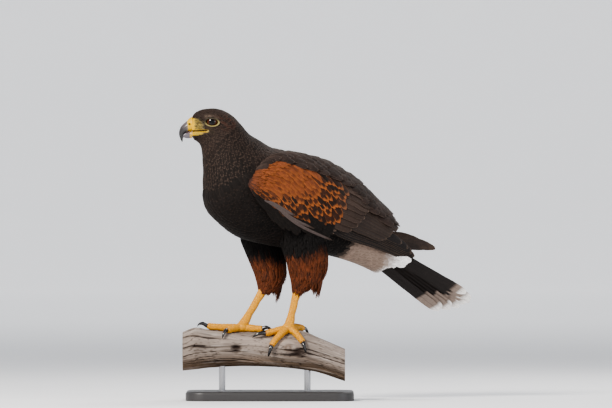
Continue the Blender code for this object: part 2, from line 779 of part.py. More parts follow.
def tail_envelope():
    """The space that the tail fills, with some room, to cut its neighbours clear of it."""
    axis, up, left = tail_axes()
    root = tail_root()

    def place(row, column, face):
        share = row / 4
        side = column / 2 - 1.0
        half = TAIL_ENVELOPE_HALF_WIDTHS[0] + (TAIL_ENVELOPE_HALF_WIDTHS[1] - TAIL_ENVELOPE_HALF_WIDTHS[0]) * share
        along = TAIL_LENGTH * share - (1.0 if row == 0 else 0.0)
        return root + axis * along + left * half * side + up * face * (TAIL_ENVELOPE - 0.25 * side * side)

    made = mesh_object("envelope", *slab_mesh(4, 4, place))
    made.hide_render = True
    made.display_type = "WIRE"
    return made


def make_tail_coverts(finish):
    coverts = body_piece("tail_coverts", TORSO_END, COVERTS_END, 5, 20, finish, last=True)
    vanes = []
    for count, first, last, root, tip, half in COVERT_RINGS:
        ends = ((root, first), (root, last), (tip, first), (tip, last))
        vanes += shingled(BODY.point, count, *ends, 0.3, half, half, -1.6, 1.4)
    fuse(coverts, vanes, FEATHER_SOLVER)
    cut(coverts, [tail_envelope()])
    return coverts


# Legs and feet

def thigh_tube(stations):
    centres = [s[:3] for s in stations]
    return Tube(
        centres,
        [(1.0, 0.0, 0.0)] * len(stations),
        [(0.0, -1.0, 0.0)] * len(stations),
        [s[3] for s in stations],
        [s[4] for s in stations],
    )


def perch_tube():
    centres = [(x, PERCH_Y, z) for x, z, _ in PERCH_STATIONS]
    count = len(centres)
    radii = [radius for _, _, radius in PERCH_STATIONS]
    return Tube(centres, [(0.0, 0.0, 1.0)] * count, [(0.0, -1.0, 0.0)] * count, radii, radii)


def perch_point(x, degrees, lift):
    """A point over the perch's bark, at an angle from its top towards -Y."""
    xs = [station[0] for station in PERCH_STATIONS]
    place = float(np.interp(x, xs, range(len(xs))))
    return PERCH.point(place, 90.0 - degrees, lift)


def toe_tube(hub, toe):
    """The centre line of a toe and its claw, with knuckles, bent over the perch."""
    end_x, end_angle, tip_x, tip_angle = toe
    stops = (
        (hub[0], hub[1], 6.6, TOE_RADIUS_ROOT),
        (hub[0] + 0.35 * (end_x - hub[0]), hub[1] + 0.3 * (end_angle - hub[1]), 6.2, TOE_RADIUS_ROOT),
        (hub[0] + 0.7 * (end_x - hub[0]), hub[1] + 0.65 * (end_angle - hub[1]), 5.2, 4.9),
        (end_x, end_angle, 5.6, TOE_RADIUS_END),
        (end_x + 0.4 * (tip_x - end_x), end_angle + 0.36 * (tip_angle - end_angle), 7.6, CLAW_RADIUS * 0.85),
        (end_x + 0.8 * (tip_x - end_x), end_angle + 0.76 * (tip_angle - end_angle), 5.4, CLAW_RADIUS * 0.5),
        (tip_x, tip_angle, 1.6, 0.6),
    )
    centres = [perch_point(x, angle, lift) for x, angle, lift, _ in stops]
    ups = []
    lefts = []
    for index, (x, angle, lift, _) in enumerate(stops):
        ahead = centres[min(index + 1, len(stops) - 1)] - centres[max(index - 1, 0)]
        outward = perch_point(x, angle, lift + 5.0) - centres[index]
        up = unit(outward - unit(ahead) * np.dot(outward, unit(ahead)))
        ups.append(up)
        lefts.append(unit(np.cross(unit(ahead), up)))
    radii = [radius for _, _, _, radius in stops]
    return Tube(centres, ups, lefts, radii, radii)


def make_foot(side, hub, toes, skin, horn):
    centre = perch_point(hub[0], hub[1], HUB_LIFT)
    foot = mesh_object("foot_" + side, *ball_mesh(centre, np.eye(3), HUB_SIZE, 6, 10), skin)
    pieces = []
    for toe in toes:
        tube = toe_tube(hub, toe)
        pieces.append(mesh_object("toe", *ring_mesh(tube_rings(tube, 0.0, 3.0, 5, 7))))
    fuse(foot, pieces)
    for index, toe in enumerate(toes):
        tube = toe_tube(hub, toe)
        rings = tube_rings(tube, 3.0, 6.0, 5, 6, 0.0, GAP, 0.0)
        tube_claw = [
            [np.mean(ring, axis=0) + (point - np.mean(ring, axis=0)) * claw_share(row) for point in ring]
            for row, ring in enumerate(rings)
        ]
        claw = mesh_object(f"claw_{side}_{index + 1}", *ring_mesh(tube_claw), horn)
        cut(claw, [fattened(bpy.data.objects["perch"])])
    cut(foot, [fattened(bpy.data.objects["perch"])])
    return foot


def claw_share(row):
    return 0.8 if row == 0 else 0.88 if row == 1 else 1.0


def make_leg(side, stations, hub, leg_finish, skin):
    tube = thigh_tube(stations)
    thigh = mesh_object("thigh_" + side, *ring_mesh(tube_rings(tube, 0, len(stations) - 1, 9, 13)), leg_finish)
    top = np.array(stations[-1][:3])
    top[2] += 6.0
    foot_centre = perch_point(hub[0], hub[1], HUB_LIFT + 2.0)
    lean = unit(foot_centre - top)
    side_axis = unit(np.cross(lean, (0.0, 1.0, 0.0)))
    tarsus_line = Tube(
        [top, top + (foot_centre - top) * 0.5, foot_centre],
        [side_axis] * 3,
        [unit(np.cross(lean, side_axis))] * 3,
        [TARSUS_RADIUS + 0.4, TARSUS_RADIUS - 0.2, TARSUS_RADIUS + 1.2],
        [TARSUS_RADIUS, TARSUS_RADIUS - 0.6, TARSUS_RADIUS + 1.0],
    )
    tarsus = mesh_object("tarsus_" + side, *ring_mesh(tube_rings(tarsus_line, 0, 2, 4, 10)), skin)
    locks = []
    for count, first, last, root, tip, half, rise in THIGH_LOCKS:
        for number in range(count):
            degrees = first + (last - first) * number / (count - 1)
            reach = tip + 0.35 * math.sin(2.3 * number + len(locks))
            locks.append(vane(tube.point, (root, degrees), (reach, degrees), half, -1.8, rise, 0.0, LOCK_WIDTHS, 1))
    fuse(thigh, locks, FEATHER_SOLVER)
    neighbours = [fattened(bpy.data.objects["torso"]), fattened(tarsus), fattened(bpy.data.objects["tail_coverts"])]
    cut(thigh, neighbours, FEATHER_SOLVER)
    return tarsus


# Perch and stand

def make_perch(finish):
    rows, sides = 15, 15
    rings = []
    last = len(PERCH_STATIONS) - 1
    for row in range(rows + 1):
        place = last * row / rows
        ring = []
        for side in range(sides):
            degrees = 360.0 * side / sides
            x = PERCH.section(place)[0][0]
            ridge = 0.9 * math.sin(math.radians(5 * degrees) + 0.02 * x) + 0.6 * math.sin(0.055 * x + side)
            knot = KNOT_HEIGHT * math.exp(-(((x - KNOT_X) / 14.0) ** 2) - ((degrees - KNOT_ANGLE) / 26.0) ** 2)
            ring.append(PERCH.point(place, degrees, ridge + knot))
        rings.append(ring)
    perch = mesh_object("perch", *ring_mesh(rings), finish)
    return perch


def rounded_plate(length, width, corner, steps=4):
    outline = []
    for quarter in range(4):
        centre_x = (length / 2 - corner) * (1 if quarter in (0, 3) else -1)
        centre_y = (width / 2 - corner) * (1 if quarter in (0, 1) else -1)
        for step in range(steps + 1):
            angle = math.radians(90 * quarter + 90 * step / steps)
            outline.append((centre_x + corner * math.cos(angle), centre_y + corner * math.sin(angle)))
    return outline


def make_stand(base_finish, rod_finish):
    levels = ((0.0, 0.0), (BASE_HEIGHT - 2.0, 0.0), (BASE_HEIGHT, 2.0))
    rings = [
        [
            np.array((x, y, height))
            for x, y in rounded_plate(BASE_LENGTH - 2 * inset, BASE_WIDTH - 2 * inset, BASE_CORNER - inset)
        ]
        for height, inset in levels
    ]
    base = mesh_object("stand_base", *ring_mesh(rings), base_finish)
    for index, x in enumerate(ROD_PLACES):
        under = perch_point(x, 180.0, 0.0)[2]
        heights = (BASE_HEIGHT - ROD_FOOT, under + ROD_SOCKET)
        sides = 16
        rings = [
            [
                np.array(
                    (
                        x + ROD_RADIUS * math.cos(2 * math.pi * side / sides),
                        PERCH_Y + ROD_RADIUS * math.sin(2 * math.pi * side / sides),
                        height,
                    )
                )
                for side in range(sides)
            ]
            for height in heights
        ]
        rod = mesh_object(f"stand_rod_{index + 1}", *ring_mesh(rings), rod_finish)
        cut(base, [fattened(rod)])
        cut(bpy.data.objects["perch"], [fattened(rod)])


BODY = body_tube()
PERCH = perch_tube()


def main():
    clear_scene()
    dark = material("dark_plumage", (0.035, 0.025, 0.02), 0.8)
    rufous = material("rufous_plumage", (0.28, 0.09, 0.03), 0.75)
    chestnut = material("chestnut_plumage", (0.18, 0.06, 0.025), 0.8)
    white = material("white_plumage", (0.7, 0.66, 0.6), 0.8)
    tail_brown = material("tail_plumage", (0.03, 0.025, 0.022), 0.7)
    yellow = material("yellow_skin", (0.8, 0.5, 0.06), 0.5)
    leg_yellow = material("leg_skin", (0.75, 0.45, 0.12), 0.6)
    horn = material("horn", (0.05, 0.045, 0.045), 0.35)
    eye = material("eye", (0.03, 0.012, 0.006), 0.1)
    wood = material("weathered_wood", (0.3, 0.25, 0.2), 0.9)
    base_grey = material("stand_base_paint", (0.06, 0.06, 0.06), 0.5)
    rod_grey = material("stand_rod_steel", (0.4, 0.4, 0.4), 0.3)

    make_head(dark)
    body_piece("neck", HEAD_END, NECK_END, 5, 22, dark)
    body_piece("torso", NECK_END, TORSO_END, 10, 22, dark)
    make_eyes(eye)
    make_bill(yellow, horn)
    make_tail(tail_brown)
    make_tail_coverts(white)
    make_perch(wood)
    make_stand(base_grey, rod_grey)
    for side, stations, hub, toes in (
        ("left", LEFT_THIGH_STATIONS, LEFT_HUB, LEFT_TOES),
        ("right", RIGHT_THIGH_STATIONS, RIGHT_HUB, RIGHT_TOES),
    ):
        tarsus = make_leg(side, stations, hub, chestnut, leg_yellow)
        foot = make_foot(side, hub, toes, leg_yellow, horn)
        cut(tarsus, [fattened(foot)])
    make_wing("left", LEFT_TIP_STATIONS, 0.0, rufous)
    make_wing("right", RIGHT_TIP_STATIONS, RIGHT_TIP_REACH, rufous)
    for thing in bpy.data.objects:
        thing.data.shade_smooth()
        thing.data.set_sharp_from_angle(angle=math.radians(40))


main()
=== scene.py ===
import math

import bpy
import numpy as np
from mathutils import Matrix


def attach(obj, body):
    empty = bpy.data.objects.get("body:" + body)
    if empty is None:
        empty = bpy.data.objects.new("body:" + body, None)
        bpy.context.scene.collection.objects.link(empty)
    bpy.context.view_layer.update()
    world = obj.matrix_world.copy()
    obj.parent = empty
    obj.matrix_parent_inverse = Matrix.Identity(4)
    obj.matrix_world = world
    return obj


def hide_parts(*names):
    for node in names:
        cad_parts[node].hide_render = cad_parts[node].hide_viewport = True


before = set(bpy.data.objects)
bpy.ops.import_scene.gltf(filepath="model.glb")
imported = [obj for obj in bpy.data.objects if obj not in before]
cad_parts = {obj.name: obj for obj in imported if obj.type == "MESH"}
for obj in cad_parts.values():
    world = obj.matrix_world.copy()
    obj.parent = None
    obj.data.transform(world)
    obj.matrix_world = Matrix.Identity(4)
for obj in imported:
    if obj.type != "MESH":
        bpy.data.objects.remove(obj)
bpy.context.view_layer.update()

METRES = 0.001
SEED = 11
PIXEL_MM = 1.55
PICTURE_ORIGIN = (270.0, 400.0)
PICTURE_SIZE = (612, 408)

# Stations of the body, bill, wings, legs and perch, as the solids have them.
BODY_YAW = 28.0
BODY_PIVOT_X = 23.0
BODY_STATIONS = (
    (-120.6, 436.2, -119.8, 407.0, 9.5, 0, 0),
    (-116.2, 443.4, -117.0, 403.9, 14.0, 0, 0),
    (-107.0, 448.9, -113.5, 401.4, 18.5, 0, 0),
    (-94.5, 451.4, -110.4, 398.7, 21.5, 0, 0),
    (-80.6, 451.1, -108.2, 395.6, 23.0, 0, 0),
    (-66.7, 446.1, -106.6, 391.4, 24.0, 0, 0),
    (-54.2, 437.1, -105.4, 385.9, 26.0, 2, 0),
    (-43.4, 424.4, -104.5, 379.0, 29.0, 5, 0),
    (-31.8, 411.5, -103.5, 367.4, 34.0, 10, 0),
    (-17.1, 403.3, -102.3, 351.9, 41.0, 16, 0),
    (0.0, 394.2, -102.5, 328.0, 50.0, 22, 0),
    (21.7, 388.0, -97.0, 294.0, 57.0, 26, 0),
    (48.0, 386.0, -78.0, 270.5, 58.0, 28, 0),
    (75.0, 375.0, -50.0, 250.0, 56.0, 28, 0),
    (91.0, 350.0, -12.4, 240.0, 50.0, 28, 0),
    (108.0, 321.0, 31.0, 233.0, 42.0, 28, 0),
    (119.0, 292.0, 74.4, 227.5, 35.0, 28, 4),
    (141.0, 274.0, 108.5, 220.1, 31.0, 28, 10),
    (162.0, 256.0, 136.4, 211.0, 26.0, 28, 18),
    (184.0, 240.0, 160.0, 201.5, 26.0, 28, 26),
    (206.0, 222.0, 187.0, 191.0, 29.0, 28, 31),
    (224.0, 207.0, 208.0, 182.0, 31.0, 28, 33),
)
COVERTS_END = 19.1
CERE_STATIONS = (
    (-120.9, 438.2, -118.8, 416.5, 10.0),
    (-124.3, 436.2, -121.7, 416.6, 8.8),
    (-127.7, 432.6, -125.4, 416.3, 7.4),
)
UPPER_BILL_STATIONS = (
    (-127.9, 432.2, -125.6, 416.3, 6.9),
    (-133.3, 427.8, -128.7, 414.6, 6.0),
    (-138.0, 422.4, -131.0, 412.8, 4.9),
    (-140.1, 416.2, -132.8, 410.4, 3.6),
    (-140.1, 410.0, -133.9, 407.3, 2.4),
    (-138.4, 404.6, -134.4, 403.3, 1.5),
    (-136.1, 399.9, -134.8, 399.9, 0.5),
)
LOWER_BILL_STATIONS = (
    (-120.2, 414.6, -119.6, 405.6, 8.6),
    (-124.0, 413.6, -123.6, 405.2, 7.0),
    (-127.9, 412.0, -128.0, 405.2, 5.0),
    (-134.0, 410.4, -134.2, 406.8, 2.2),
)
EYE_X = -89.1
EYE_Z = 430.1
EYE_RADIUS = 10.6
EYE_SIDE = 11.3
EYE_OPENING = (8.5, 5.1)
PUPIL_EDGE = (3.9, 4.4)
BROW_HEIGHT = 2.8
BROW_LENGTH = 13.0
BROW_ABOVE_EYE = 9.2
SOCKET_DEPTH = 6.5
MOUTH_Z = 416.2
NOSTRIL = (-124.0, 427.0)
WING_STATIONS = (
    (-58.0, 338.0, 48.0, 58.0),
    (-48.0, 338.0, 60.0, 66.0),
    (-36.0, 336.0, 70.0, 69.5),
    (-14.0, 328.0, 81.0, 71.5),
    (25.0, 304.0, 94.0, 72.0),
    (86.8, 276.0, 84.0, 64.0),
    (133.0, 260.0, 61.0, 53.0),
)
LEFT_TIP_STATIONS = ((176.0, 243.0, 43.0, 40.0), (210.0, 226.0, 31.0, 29.0), (238.0, 211.0, 21.0, 21.0))
RIGHT_TIP_STATIONS = ((178.0, 250.0, 43.0, 40.0), (222.0, 247.0, 31.0, 28.0), (270.0, 235.0, 21.0, 21.0))
WING_TILT = 28.0
WING_LOWER_EDGE = (-6, -18, -25, -25, -17, -10, -8, -8, -14, -16)
WING_UPPER_EDGE = (20, 34, 42, 48, 56, 70, 80, 84, 76, 50)
WING_DEPTH = (24, 24, 26, 28, 30, 30, 18, 13, 9, 2.5)
WING_CORE_SINK = (1.0, 1.5, 2.0, 2.5, 3.5, 6.0, 8.5, 9.5, 9, 9)
WING_CORE_LENGTH = 6.4
RIGHT_TIP_REACH = 0.8
TAIL_TIP = (299.0, 145.5)
TAIL_LENGTH = 215.0
TAIL_DROOP = 30.0
TAIL_ROLL = 31.0
TAIL_HALF_WIDTH_TIP = 39.5
TAIL_HALF_WIDTH_ROOT = 21.0
TAIL_FEATHERS = 12
TAIL_FEATHER_HALF_WIDTH = 10.5
TAIL_FEATHER_STEP = 1.15
TAIL_BAND = 0.835
TAIL_BAND_SLANT = 0.045
LEFT_THIGH_STATIONS = (
    (40.0, -24.0, 290.0, 33.0, 27.0),
    (49.0, -25.0, 256.0, 36.0, 27.0),
    (54.6, -25.0, 232.0, 34.0, 26.0),
    (57.7, -25.0, 214.0, 31.0, 24.0),
    (57.7, -25.0, 198.4, 27.5, 20.5),
    (54.6, -25.0, 184.5, 21.0, 16.0),
    (46.5, -25.0, 173.0, 11.5, 10.5),
    (42.5, -25.0, 165.5, 6.6, 6.6),
)
RIGHT_THIGH_STATIONS = (
    (-14.0, 28.0, 286.0, 31.0, 27.0),
    (-12.0, 27.0, 251.0, 33.0, 27.0),
    (-8.5, 25.0, 232.0, 30.0, 26.0),
    (-4.0, 22.0, 214.0, 27.0, 23.0),
    (-1.0, 18.0, 198.4, 23.5, 20.0),
    (-0.5, 14.0, 184.5, 19.5, 16.0),
    (-5.0, 9.0, 173.0, 12.5, 10.5),
    (-10.0, 6.0, 165.5, 6.6, 6.6),
)
PERCH_Y = -16.0
PERCH_STATIONS = (
    (-135.0, 76.7, 30.2),
    (-116.0, 81.0, 32.6),
    (-93.0, 80.6, 29.5),
    (-46.5, 79.8, 27.1),
    (0.0, 79.0, 28.4),
    (46.5, 78.3, 30.0),
    (77.5, 70.5, 27.1),
    (116.0, 55.8, 25.6),
)
KNOT_X = 28.0
KNOT_ANGLE = 5.0
KNOT_HEIGHT = 3.0
LEFT_HUB = (28.0, 22.0)
RIGHT_HUB = (-43.0, -4.0)
LEFT_TOES = (
    (-6.0, 40.0, -27.0, 52.0),
    (3.0, 78.0, -3.0, 112.0),
    (50.0, 68.0, 55.0, 96.0),
    (50.0, -14.0, 60.0, -44.0),
)
RIGHT_TOES = (
    (-95.0, 2.0, -112.0, 12.0),
    (-65.0, 28.0, -72.0, 58.0),
    (-12.0, 14.0, 4.0, 20.0),
    (-40.0, -62.0, -38.0, -98.0),
)
HUB_SIZE = (10.5, 9.0, 8.4)
HUB_LIFT = 6.2
CLAW_RADIUS = 3.3
TARSUS_RADIUS = 5.3
BASE_LENGTH = 260.0
BASE_WIDTH = 176.0
BASE_HEIGHT = 14.0
BASE_CORNER = 30.0
BASE_LEVELS = (
    (0.0, 1.0),
    (1.0, 0.0),
    (BASE_HEIGHT - 3.0, 0.0),
    (BASE_HEIGHT - 1.8, 0.35),
    (BASE_HEIGHT - 0.7, 1.3),
    (BASE_HEIGHT, 3.0),
)
CORNER_STEPS = 20
LOCK_START = 4.4
LOCK_COUNT = 340
LOCK_DROP = (-3.5, 0.0, -14.0)
NOISE_CELLS = 32
NOISE_SHIFT = 100.0

# The studio, in metres.
CAMERA_DISTANCE = 12.0
SENSOR_WIDTH = 36.0
STAGE_RADIUS = 15.0
STAGE_CURVE = 3.0
STAGE_HEIGHT = 6.0
STAGE_SIDES = 96
STAGE_GLOW = 0.4
STAGE_GLOW_REACH = (1.0, 9.0)
LIGHT_AIM = (0.05, 0.0, 0.28)
LIGHTS = (
    ("key", (-1.5, -1.9, 1.9), (0.7, 0.7), 120.0, (1.0, 0.96, 0.9)),
    ("fill", (1.9, -1.6, 0.9), (1.4, 1.2), 16.0, (0.9, 0.95, 1.0)),
    ("rim", (0.9, 1.2, 1.8), (1.0, 0.8), 26.0, (1.0, 0.98, 0.95)),
)


# Curves and tubes


def srgb(red, green, blue):
    """Linear colour from the 0 to 255 values that a picture shows."""
    value = np.array((red, green, blue), float) / 255.0
    return np.where(value <= 0.04045, value / 12.92, ((value + 0.055) / 1.055) ** 2.4)


def curve(values, place):
    """Catmull-Rom values through stations, carried on in a straight line past the ends."""
    values = np.asarray(values, float)
    place = np.asarray(place, float)
    last = len(values) - 1
    inside = np.clip(place, 0.0, last)
    over = place - inside
    index = np.minimum(inside.astype(int), last - 1)
    part = inside - index
    if values.ndim > 1:
        part = part[..., None]
        over = over[..., None]
    padded = np.concatenate([[2 * values[0] - values[1]], values, [2 * values[-1] - values[-2]]])
    before, start, end, after = (padded[index + step] for step in range(4))
    slope = np.where(over > 0, values[-1] - values[-2], values[1] - values[0])
    inner = 0.5 * (
        2 * start
        + (end - before) * part
        + (2 * before - 5 * start + 4 * end - after) * part**2
        + (3 * start - before - 3 * end + after) * part**3
    )
    return inner + over * slope


def unit(vectors):
    vectors = np.asarray(vectors, float)
    return vectors / np.maximum(np.linalg.norm(vectors, axis=-1, keepdims=True), 1e-9)


def step_between(low, high, value):
    """0 below low, 1 above high, smooth between them."""
    share = np.clip((np.asarray(value, float) - low) / (high - low), 0.0, 1.0)
    return share * share * (3.0 - 2.0 * share)


class Tube:
    """A body of elliptical sections through stations: centre, up and left axes, half depth, half width."""

    def __init__(self, centres, ups, lefts, depths, widths):
        self.centres = np.array(centres, float)
        self.ups = np.array(ups, float)
        self.lefts = np.array(lefts, float)
        self.depths = np.array(depths, float)
        self.widths = np.array(widths, float)

    def point(self, place, degrees, lift=0.0):
        """Points over the skin: 0 degrees is the left side, 90 the top, 180 the right side."""
        place, degrees, lift = np.broadcast_arrays(
            np.asarray(place, float), np.asarray(degrees, float), np.asarray(lift, float)
        )
        up = unit(curve(self.ups, place))
        left = curve(self.lefts, place)
        left = unit(left - up * np.sum(up * left, axis=-1, keepdims=True))
        depth = np.maximum(curve(self.depths, place), 0.3)[..., None]
        width = np.maximum(curve(self.widths, place), 0.3)[..., None]
        sine = np.sin(np.radians(degrees))[..., None]
        cosine = np.cos(np.radians(degrees))[..., None]
        outward = unit(up * sine / depth + left * cosine / width)
        on_skin = curve(self.centres, place) + up * depth * sine + left * width * cosine
        return on_skin + outward * lift[..., None]


def sagittal_y(x):
    return (x - BODY_PIVOT_X) * math.tan(math.radians(BODY_YAW))


def body_tube():
    centres, ups, lefts, depths, widths = [], [], [], [], []
    for top_x, top_z, low_x, low_z, half_width, yaw, roll in BODY_STATIONS:
        turn, tilt = math.radians(yaw), math.radians(roll)
        across, height = top_x - low_x, top_z - low_z
        up = unit((across, across * math.tan(turn), height))
        left = np.array((math.sin(turn), -math.cos(turn), 0.0))
        centres.append(((top_x + low_x) / 2, 0.0, (top_z + low_z) / 2))
        ups.append(up * math.cos(tilt) - left * math.sin(tilt))
        lefts.append(left * math.cos(tilt) + up * math.sin(tilt))
        depths.append(math.hypot(across, height) / 2)
        widths.append(half_width)
    centres = np.array(centres)
    for index, station in enumerate(BODY_STATIONS):
        if station[5] == BODY_YAW:
            centres[index, 1] = sagittal_y(centres[index, 0])
    for index in range(len(centres) - 1, -1, -1):
        if BODY_STATIONS[index][5] != BODY_YAW:
            slope = math.tan(math.radians((BODY_STATIONS[index][5] + BODY_STATIONS[index + 1][5]) / 2))
            step = centres[index + 1, 0] - centres[index, 0]
            centres[index, 1] = centres[index + 1, 1] - slope * step
    return Tube(centres, ups, lefts, depths, widths)


def side_tube(stations, y):
    """A tube whose sections stand in the picture's plane: two border points and a half width each."""
    count = len(stations)
    centres = [((a + c) / 2, y, (b + d) / 2) for a, b, c, d, _ in stations]
    ups = [unit((a - c, 0.0, b - d)) for a, b, c, d, _ in stations]
    depths = [math.hypot(a - c, b - d) / 2 for a, b, c, d, _ in stations]
    return Tube(centres, ups, [(0.0, -1.0, 0.0)] * count, depths, [station[4] for station in stations])


def wing_tube(tips):
    stations = WING_STATIONS + tips
    tilt, turn = math.radians(WING_TILT), math.radians(BODY_YAW)
    back = (math.cos(turn), math.sin(turn))
    up = (math.sin(tilt) * back[0], math.sin(tilt) * back[1], math.cos(tilt))
    left = (math.sin(turn), -math.cos(turn), 0.0)
    centres = [(x, sagittal_y(x), z) for x, z, _, _ in stations]
    count = len(stations)
    return Tube(centres, [up] * count, [left] * count, [s[2] for s in stations], [s[3] for s in stations])


def thigh_tube(stations):
    count = len(stations)
    return Tube(
        [s[:3] for s in stations],
        [(1.0, 0.0, 0.0)] * count,
        [(0.0, -1.0, 0.0)] * count,
        [s[3] for s in stations],
        [s[4] for s in stations],
    )


def perch_tube():
    count = len(PERCH_STATIONS)
    radii = [radius for _, _, radius in PERCH_STATIONS]
    centres = [(x, PERCH_Y, z) for x, z, _ in PERCH_STATIONS]
    return Tube(centres, [(0.0, 0.0, 1.0)] * count, [(0.0, -1.0, 0.0)] * count, radii, radii)


BODY = body_tube()
PERCH = perch_tube()
HEAD_Y = float(BODY.centres[3][1])


def noise(points, size, seed):
    """Smooth noise from -1 to 1, of the given grain size along each axis."""
    table = np.random.default_rng(seed).uniform(-1.0, 1.0, (NOISE_CELLS,) * 3)
    where = np.asarray(points, float) / np.asarray(size, float) + NOISE_SHIFT
    cell = np.floor(where).astype(int)
    part = where - cell
    part = part * part * (3.0 - 2.0 * part)
    total = np.zeros(where.shape[:-1])
    for corner in np.ndindex(2, 2, 2):
        weight = np.prod(np.where(corner, part, 1.0 - part), axis=-1)
        place = (cell + corner) % NOISE_CELLS
        total += weight * table[place[..., 0], place[..., 1], place[..., 2]]
    return total


# Meshes


def set_attribute(mesh, name, kind, values):
    """Stores one value, vector or colour for each point of a mesh."""
    layer = mesh.attributes.new(name, kind, "POINT")
    key = {"FLOAT_COLOR": "color", "FLOAT_VECTOR": "vector", "FLOAT": "value"}[kind]
    if kind == "FLOAT_COLOR":
        values = np.concatenate([values, np.ones((len(values), 1))], axis=1)
    layer.data.foreach_set(key, values.astype(np.float32).ravel())


def mesh_piece(name, points, triangles, material, nodes, tones=None, uv=None, extra=None, sharp=50.0):
    """A finished piece from arrays: it rides the root body, takes its material and stands for the named
    nodes.
    """
    points = np.asarray(points, float).reshape(-1, 3)
    triangles = np.asarray(triangles, np.int32).reshape(-1, 3)
    mesh = bpy.data.meshes.new(name)
    mesh.vertices.add(len(points))
    mesh.vertices.foreach_set("co", (points * METRES).astype(np.float32).ravel())
    mesh.loops.add(triangles.size)
    mesh.loops.foreach_set("vertex_index", triangles.ravel())
    mesh.polygons.add(len(triangles))
    mesh.polygons.foreach_set("loop_start", np.arange(0, triangles.size, 3, dtype=np.int32))
    mesh.update(calc_edges=True)
    mesh.validate()
    if tones is not None:
        set_attribute(mesh, "tone", "FLOAT_COLOR", tones)
    for attribute_name, (kind, values) in (extra or {}).items():
        set_attribute(mesh, attribute_name, kind, values)
    if uv is not None:
        layer = mesh.uv_layers.new(name="OFBake")
        layer.data.foreach_set("uv", np.asarray(uv, np.float32)[triangles.ravel()].ravel())
    mesh.shade_smooth()
    mesh.set_sharp_from_angle(angle=math.radians(sharp))
    mesh.materials.append(material)
    made = bpy.data.objects.new(name, mesh)
    bpy.context.scene.collection.objects.link(made)
    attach(made, "root")
    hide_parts(*nodes)
    return made


def grid_triangles(rows, columns, around=False):
    """Triangles of a grid of rows by columns points. Going round, the last column meets the first."""
    row = np.arange(rows - 1)[:, None]
    column = np.arange(columns if around else columns - 1)[None, :]
    a = row * columns + column
    b = row * columns + (column + 1) % columns
    c = b + columns
    d = a + columns
    halves = (np.stack([a, b, c], -1), np.stack([a, c, d], -1))
    return np.concatenate([half.reshape(-1, 3) for half in halves])


def loft(rings):
    """Points and triangles of a closed loft through rings of equal count, capped at both ends."""
    rings = np.asarray(rings, float)
    rows, sides = rings.shape[:2]
    points = np.concatenate([rings.reshape(-1, 3), rings[0].mean(0)[None], rings[-1].mean(0)[None]])
    side = np.arange(sides)
    beside = (side + 1) % sides
    first, last = rows * sides, rows * sides + 1
    end = (rows - 1) * sides
    triangles = (
        grid_triangles(rows, sides, True),
        np.stack([beside, side, np.full(sides, first)], -1),
        np.stack([end + side, end + beside, np.full(sides, last)], -1),
    )
    return points, outward(points, np.concatenate(triangles))


def outward(points, triangles):
    """The triangles of a closed surface, turned round if they face in."""
    a, b, c = (points[triangles[:, index]] for index in range(3))
    return triangles if np.sum(np.cross(a, b) * c) > 0 else triangles[:, ::-1]


def with_ends(values):
    """A loft's values in one row, with one more for each of its two end points."""
    values = values.reshape(-1, values.shape[-1])
    return np.concatenate([values, values[:1], values[-1:]])


def loft_uv(round_share, along_share, ends=(0.01, 0.99)):
    """The bake map of a loft, from how far round and how far along each of its points lies."""
    u, v = np.broadcast_arrays(round_share, along_share)
    return np.stack([np.append(u, [0.5, 0.5]), np.append(v, ends)], -1)


def side_uv(points, x_start, x_size, z_start, z_size):
    """The bake map of a small piece, laid out by its length and its height."""
    uv = np.stack([(points[:, 0] - x_start) / x_size, (points[:, 2] - z_start) / z_size], -1)
    return np.clip(uv, 0.01, 0.99)


def loft_grid(start, end, rows, sides):
    """Places along and degrees round, for the rings of a loft."""
    places = np.linspace(start, end, rows)
    return np.meshgrid(places, np.linspace(0.0, 360.0, sides, endpoint=False), indexing="ij")


class Gather:
    """Collects closed shapes with their colours and vane marks for one piece."""

    KINDS = (("edge", "FLOAT_COLOR"), ("vane", "FLOAT_VECTOR"), ("barb", "FLOAT"))

    def __init__(self):
        self.count = 0
        self.rows = {key: [] for key in ("points", "triangles", "tone", "edge", "vane", "barb", "uv")}

    def add(self, points, triangles, tone, uv, edge=None, vane=None, barb=None):
        number = len(points)
        found = {
            "points": points,
            "triangles": triangles + self.count,
            "tone": np.broadcast_to(tone, (number, 3)),
            "edge": np.broadcast_to(tone if edge is None else edge, (number, 3)),
            "vane": np.zeros((number, 3)) if vane is None else vane,
            "barb": np.zeros(number) if barb is None else barb,
            "uv": uv,
        }
        for key, values in found.items():
            self.rows[key].append(values)
        self.count += number

    def build(self, name, material, slot, nodes, sharp=60.0):
        joined = {key: np.concatenate(values) for key, values in self.rows.items()}
        extra = {key: (kind, joined[key]) for key, kind in self.KINDS}
        points, triangles = joined["points"], joined["triangles"]
        return mesh_piece(
            name, points, triangles, material, nodes, joined["tone"], joined["uv"], extra, sharp
        )


# Feathers

# Shapes of a vane: share of its length and of its full width, from root to tip.
ROUND_SMALL = ((0, 0.5), (0.32, 0.95), (0.66, 1.0), (0.88, 0.72), (1, 0.16))
ROUND_VANE = ((0, 0.45), (0.2, 0.85), (0.45, 1.0), (0.68, 0.98), (0.84, 0.8), (0.94, 0.5), (1, 0.14))
LOCK = ((0, 0.6), (0.25, 1.0), (0.5, 0.92), (0.72, 0.66), (0.88, 0.36), (1, 0.08))
LONG_VANE = (
    (0, 0.45), (0.08, 0.7), (0.18, 0.9), (0.3, 1.0), (0.42, 1.0), (0.54, 1.0), (0.64, 0.99), (0.73, 0.97),
    (0.8, 0.93), (0.86, 0.86), (0.91, 0.75), (0.95, 0.6), (0.98, 0.4), (1, 0.16),
)
BARB_SLANT = 0.9
BARB_SHIFT = 50.0
LIFT_SPEED = 1.5
TUFT_PATCH = 0.0015
UV_PLACES = 24.0
ARC_STEPS = 90


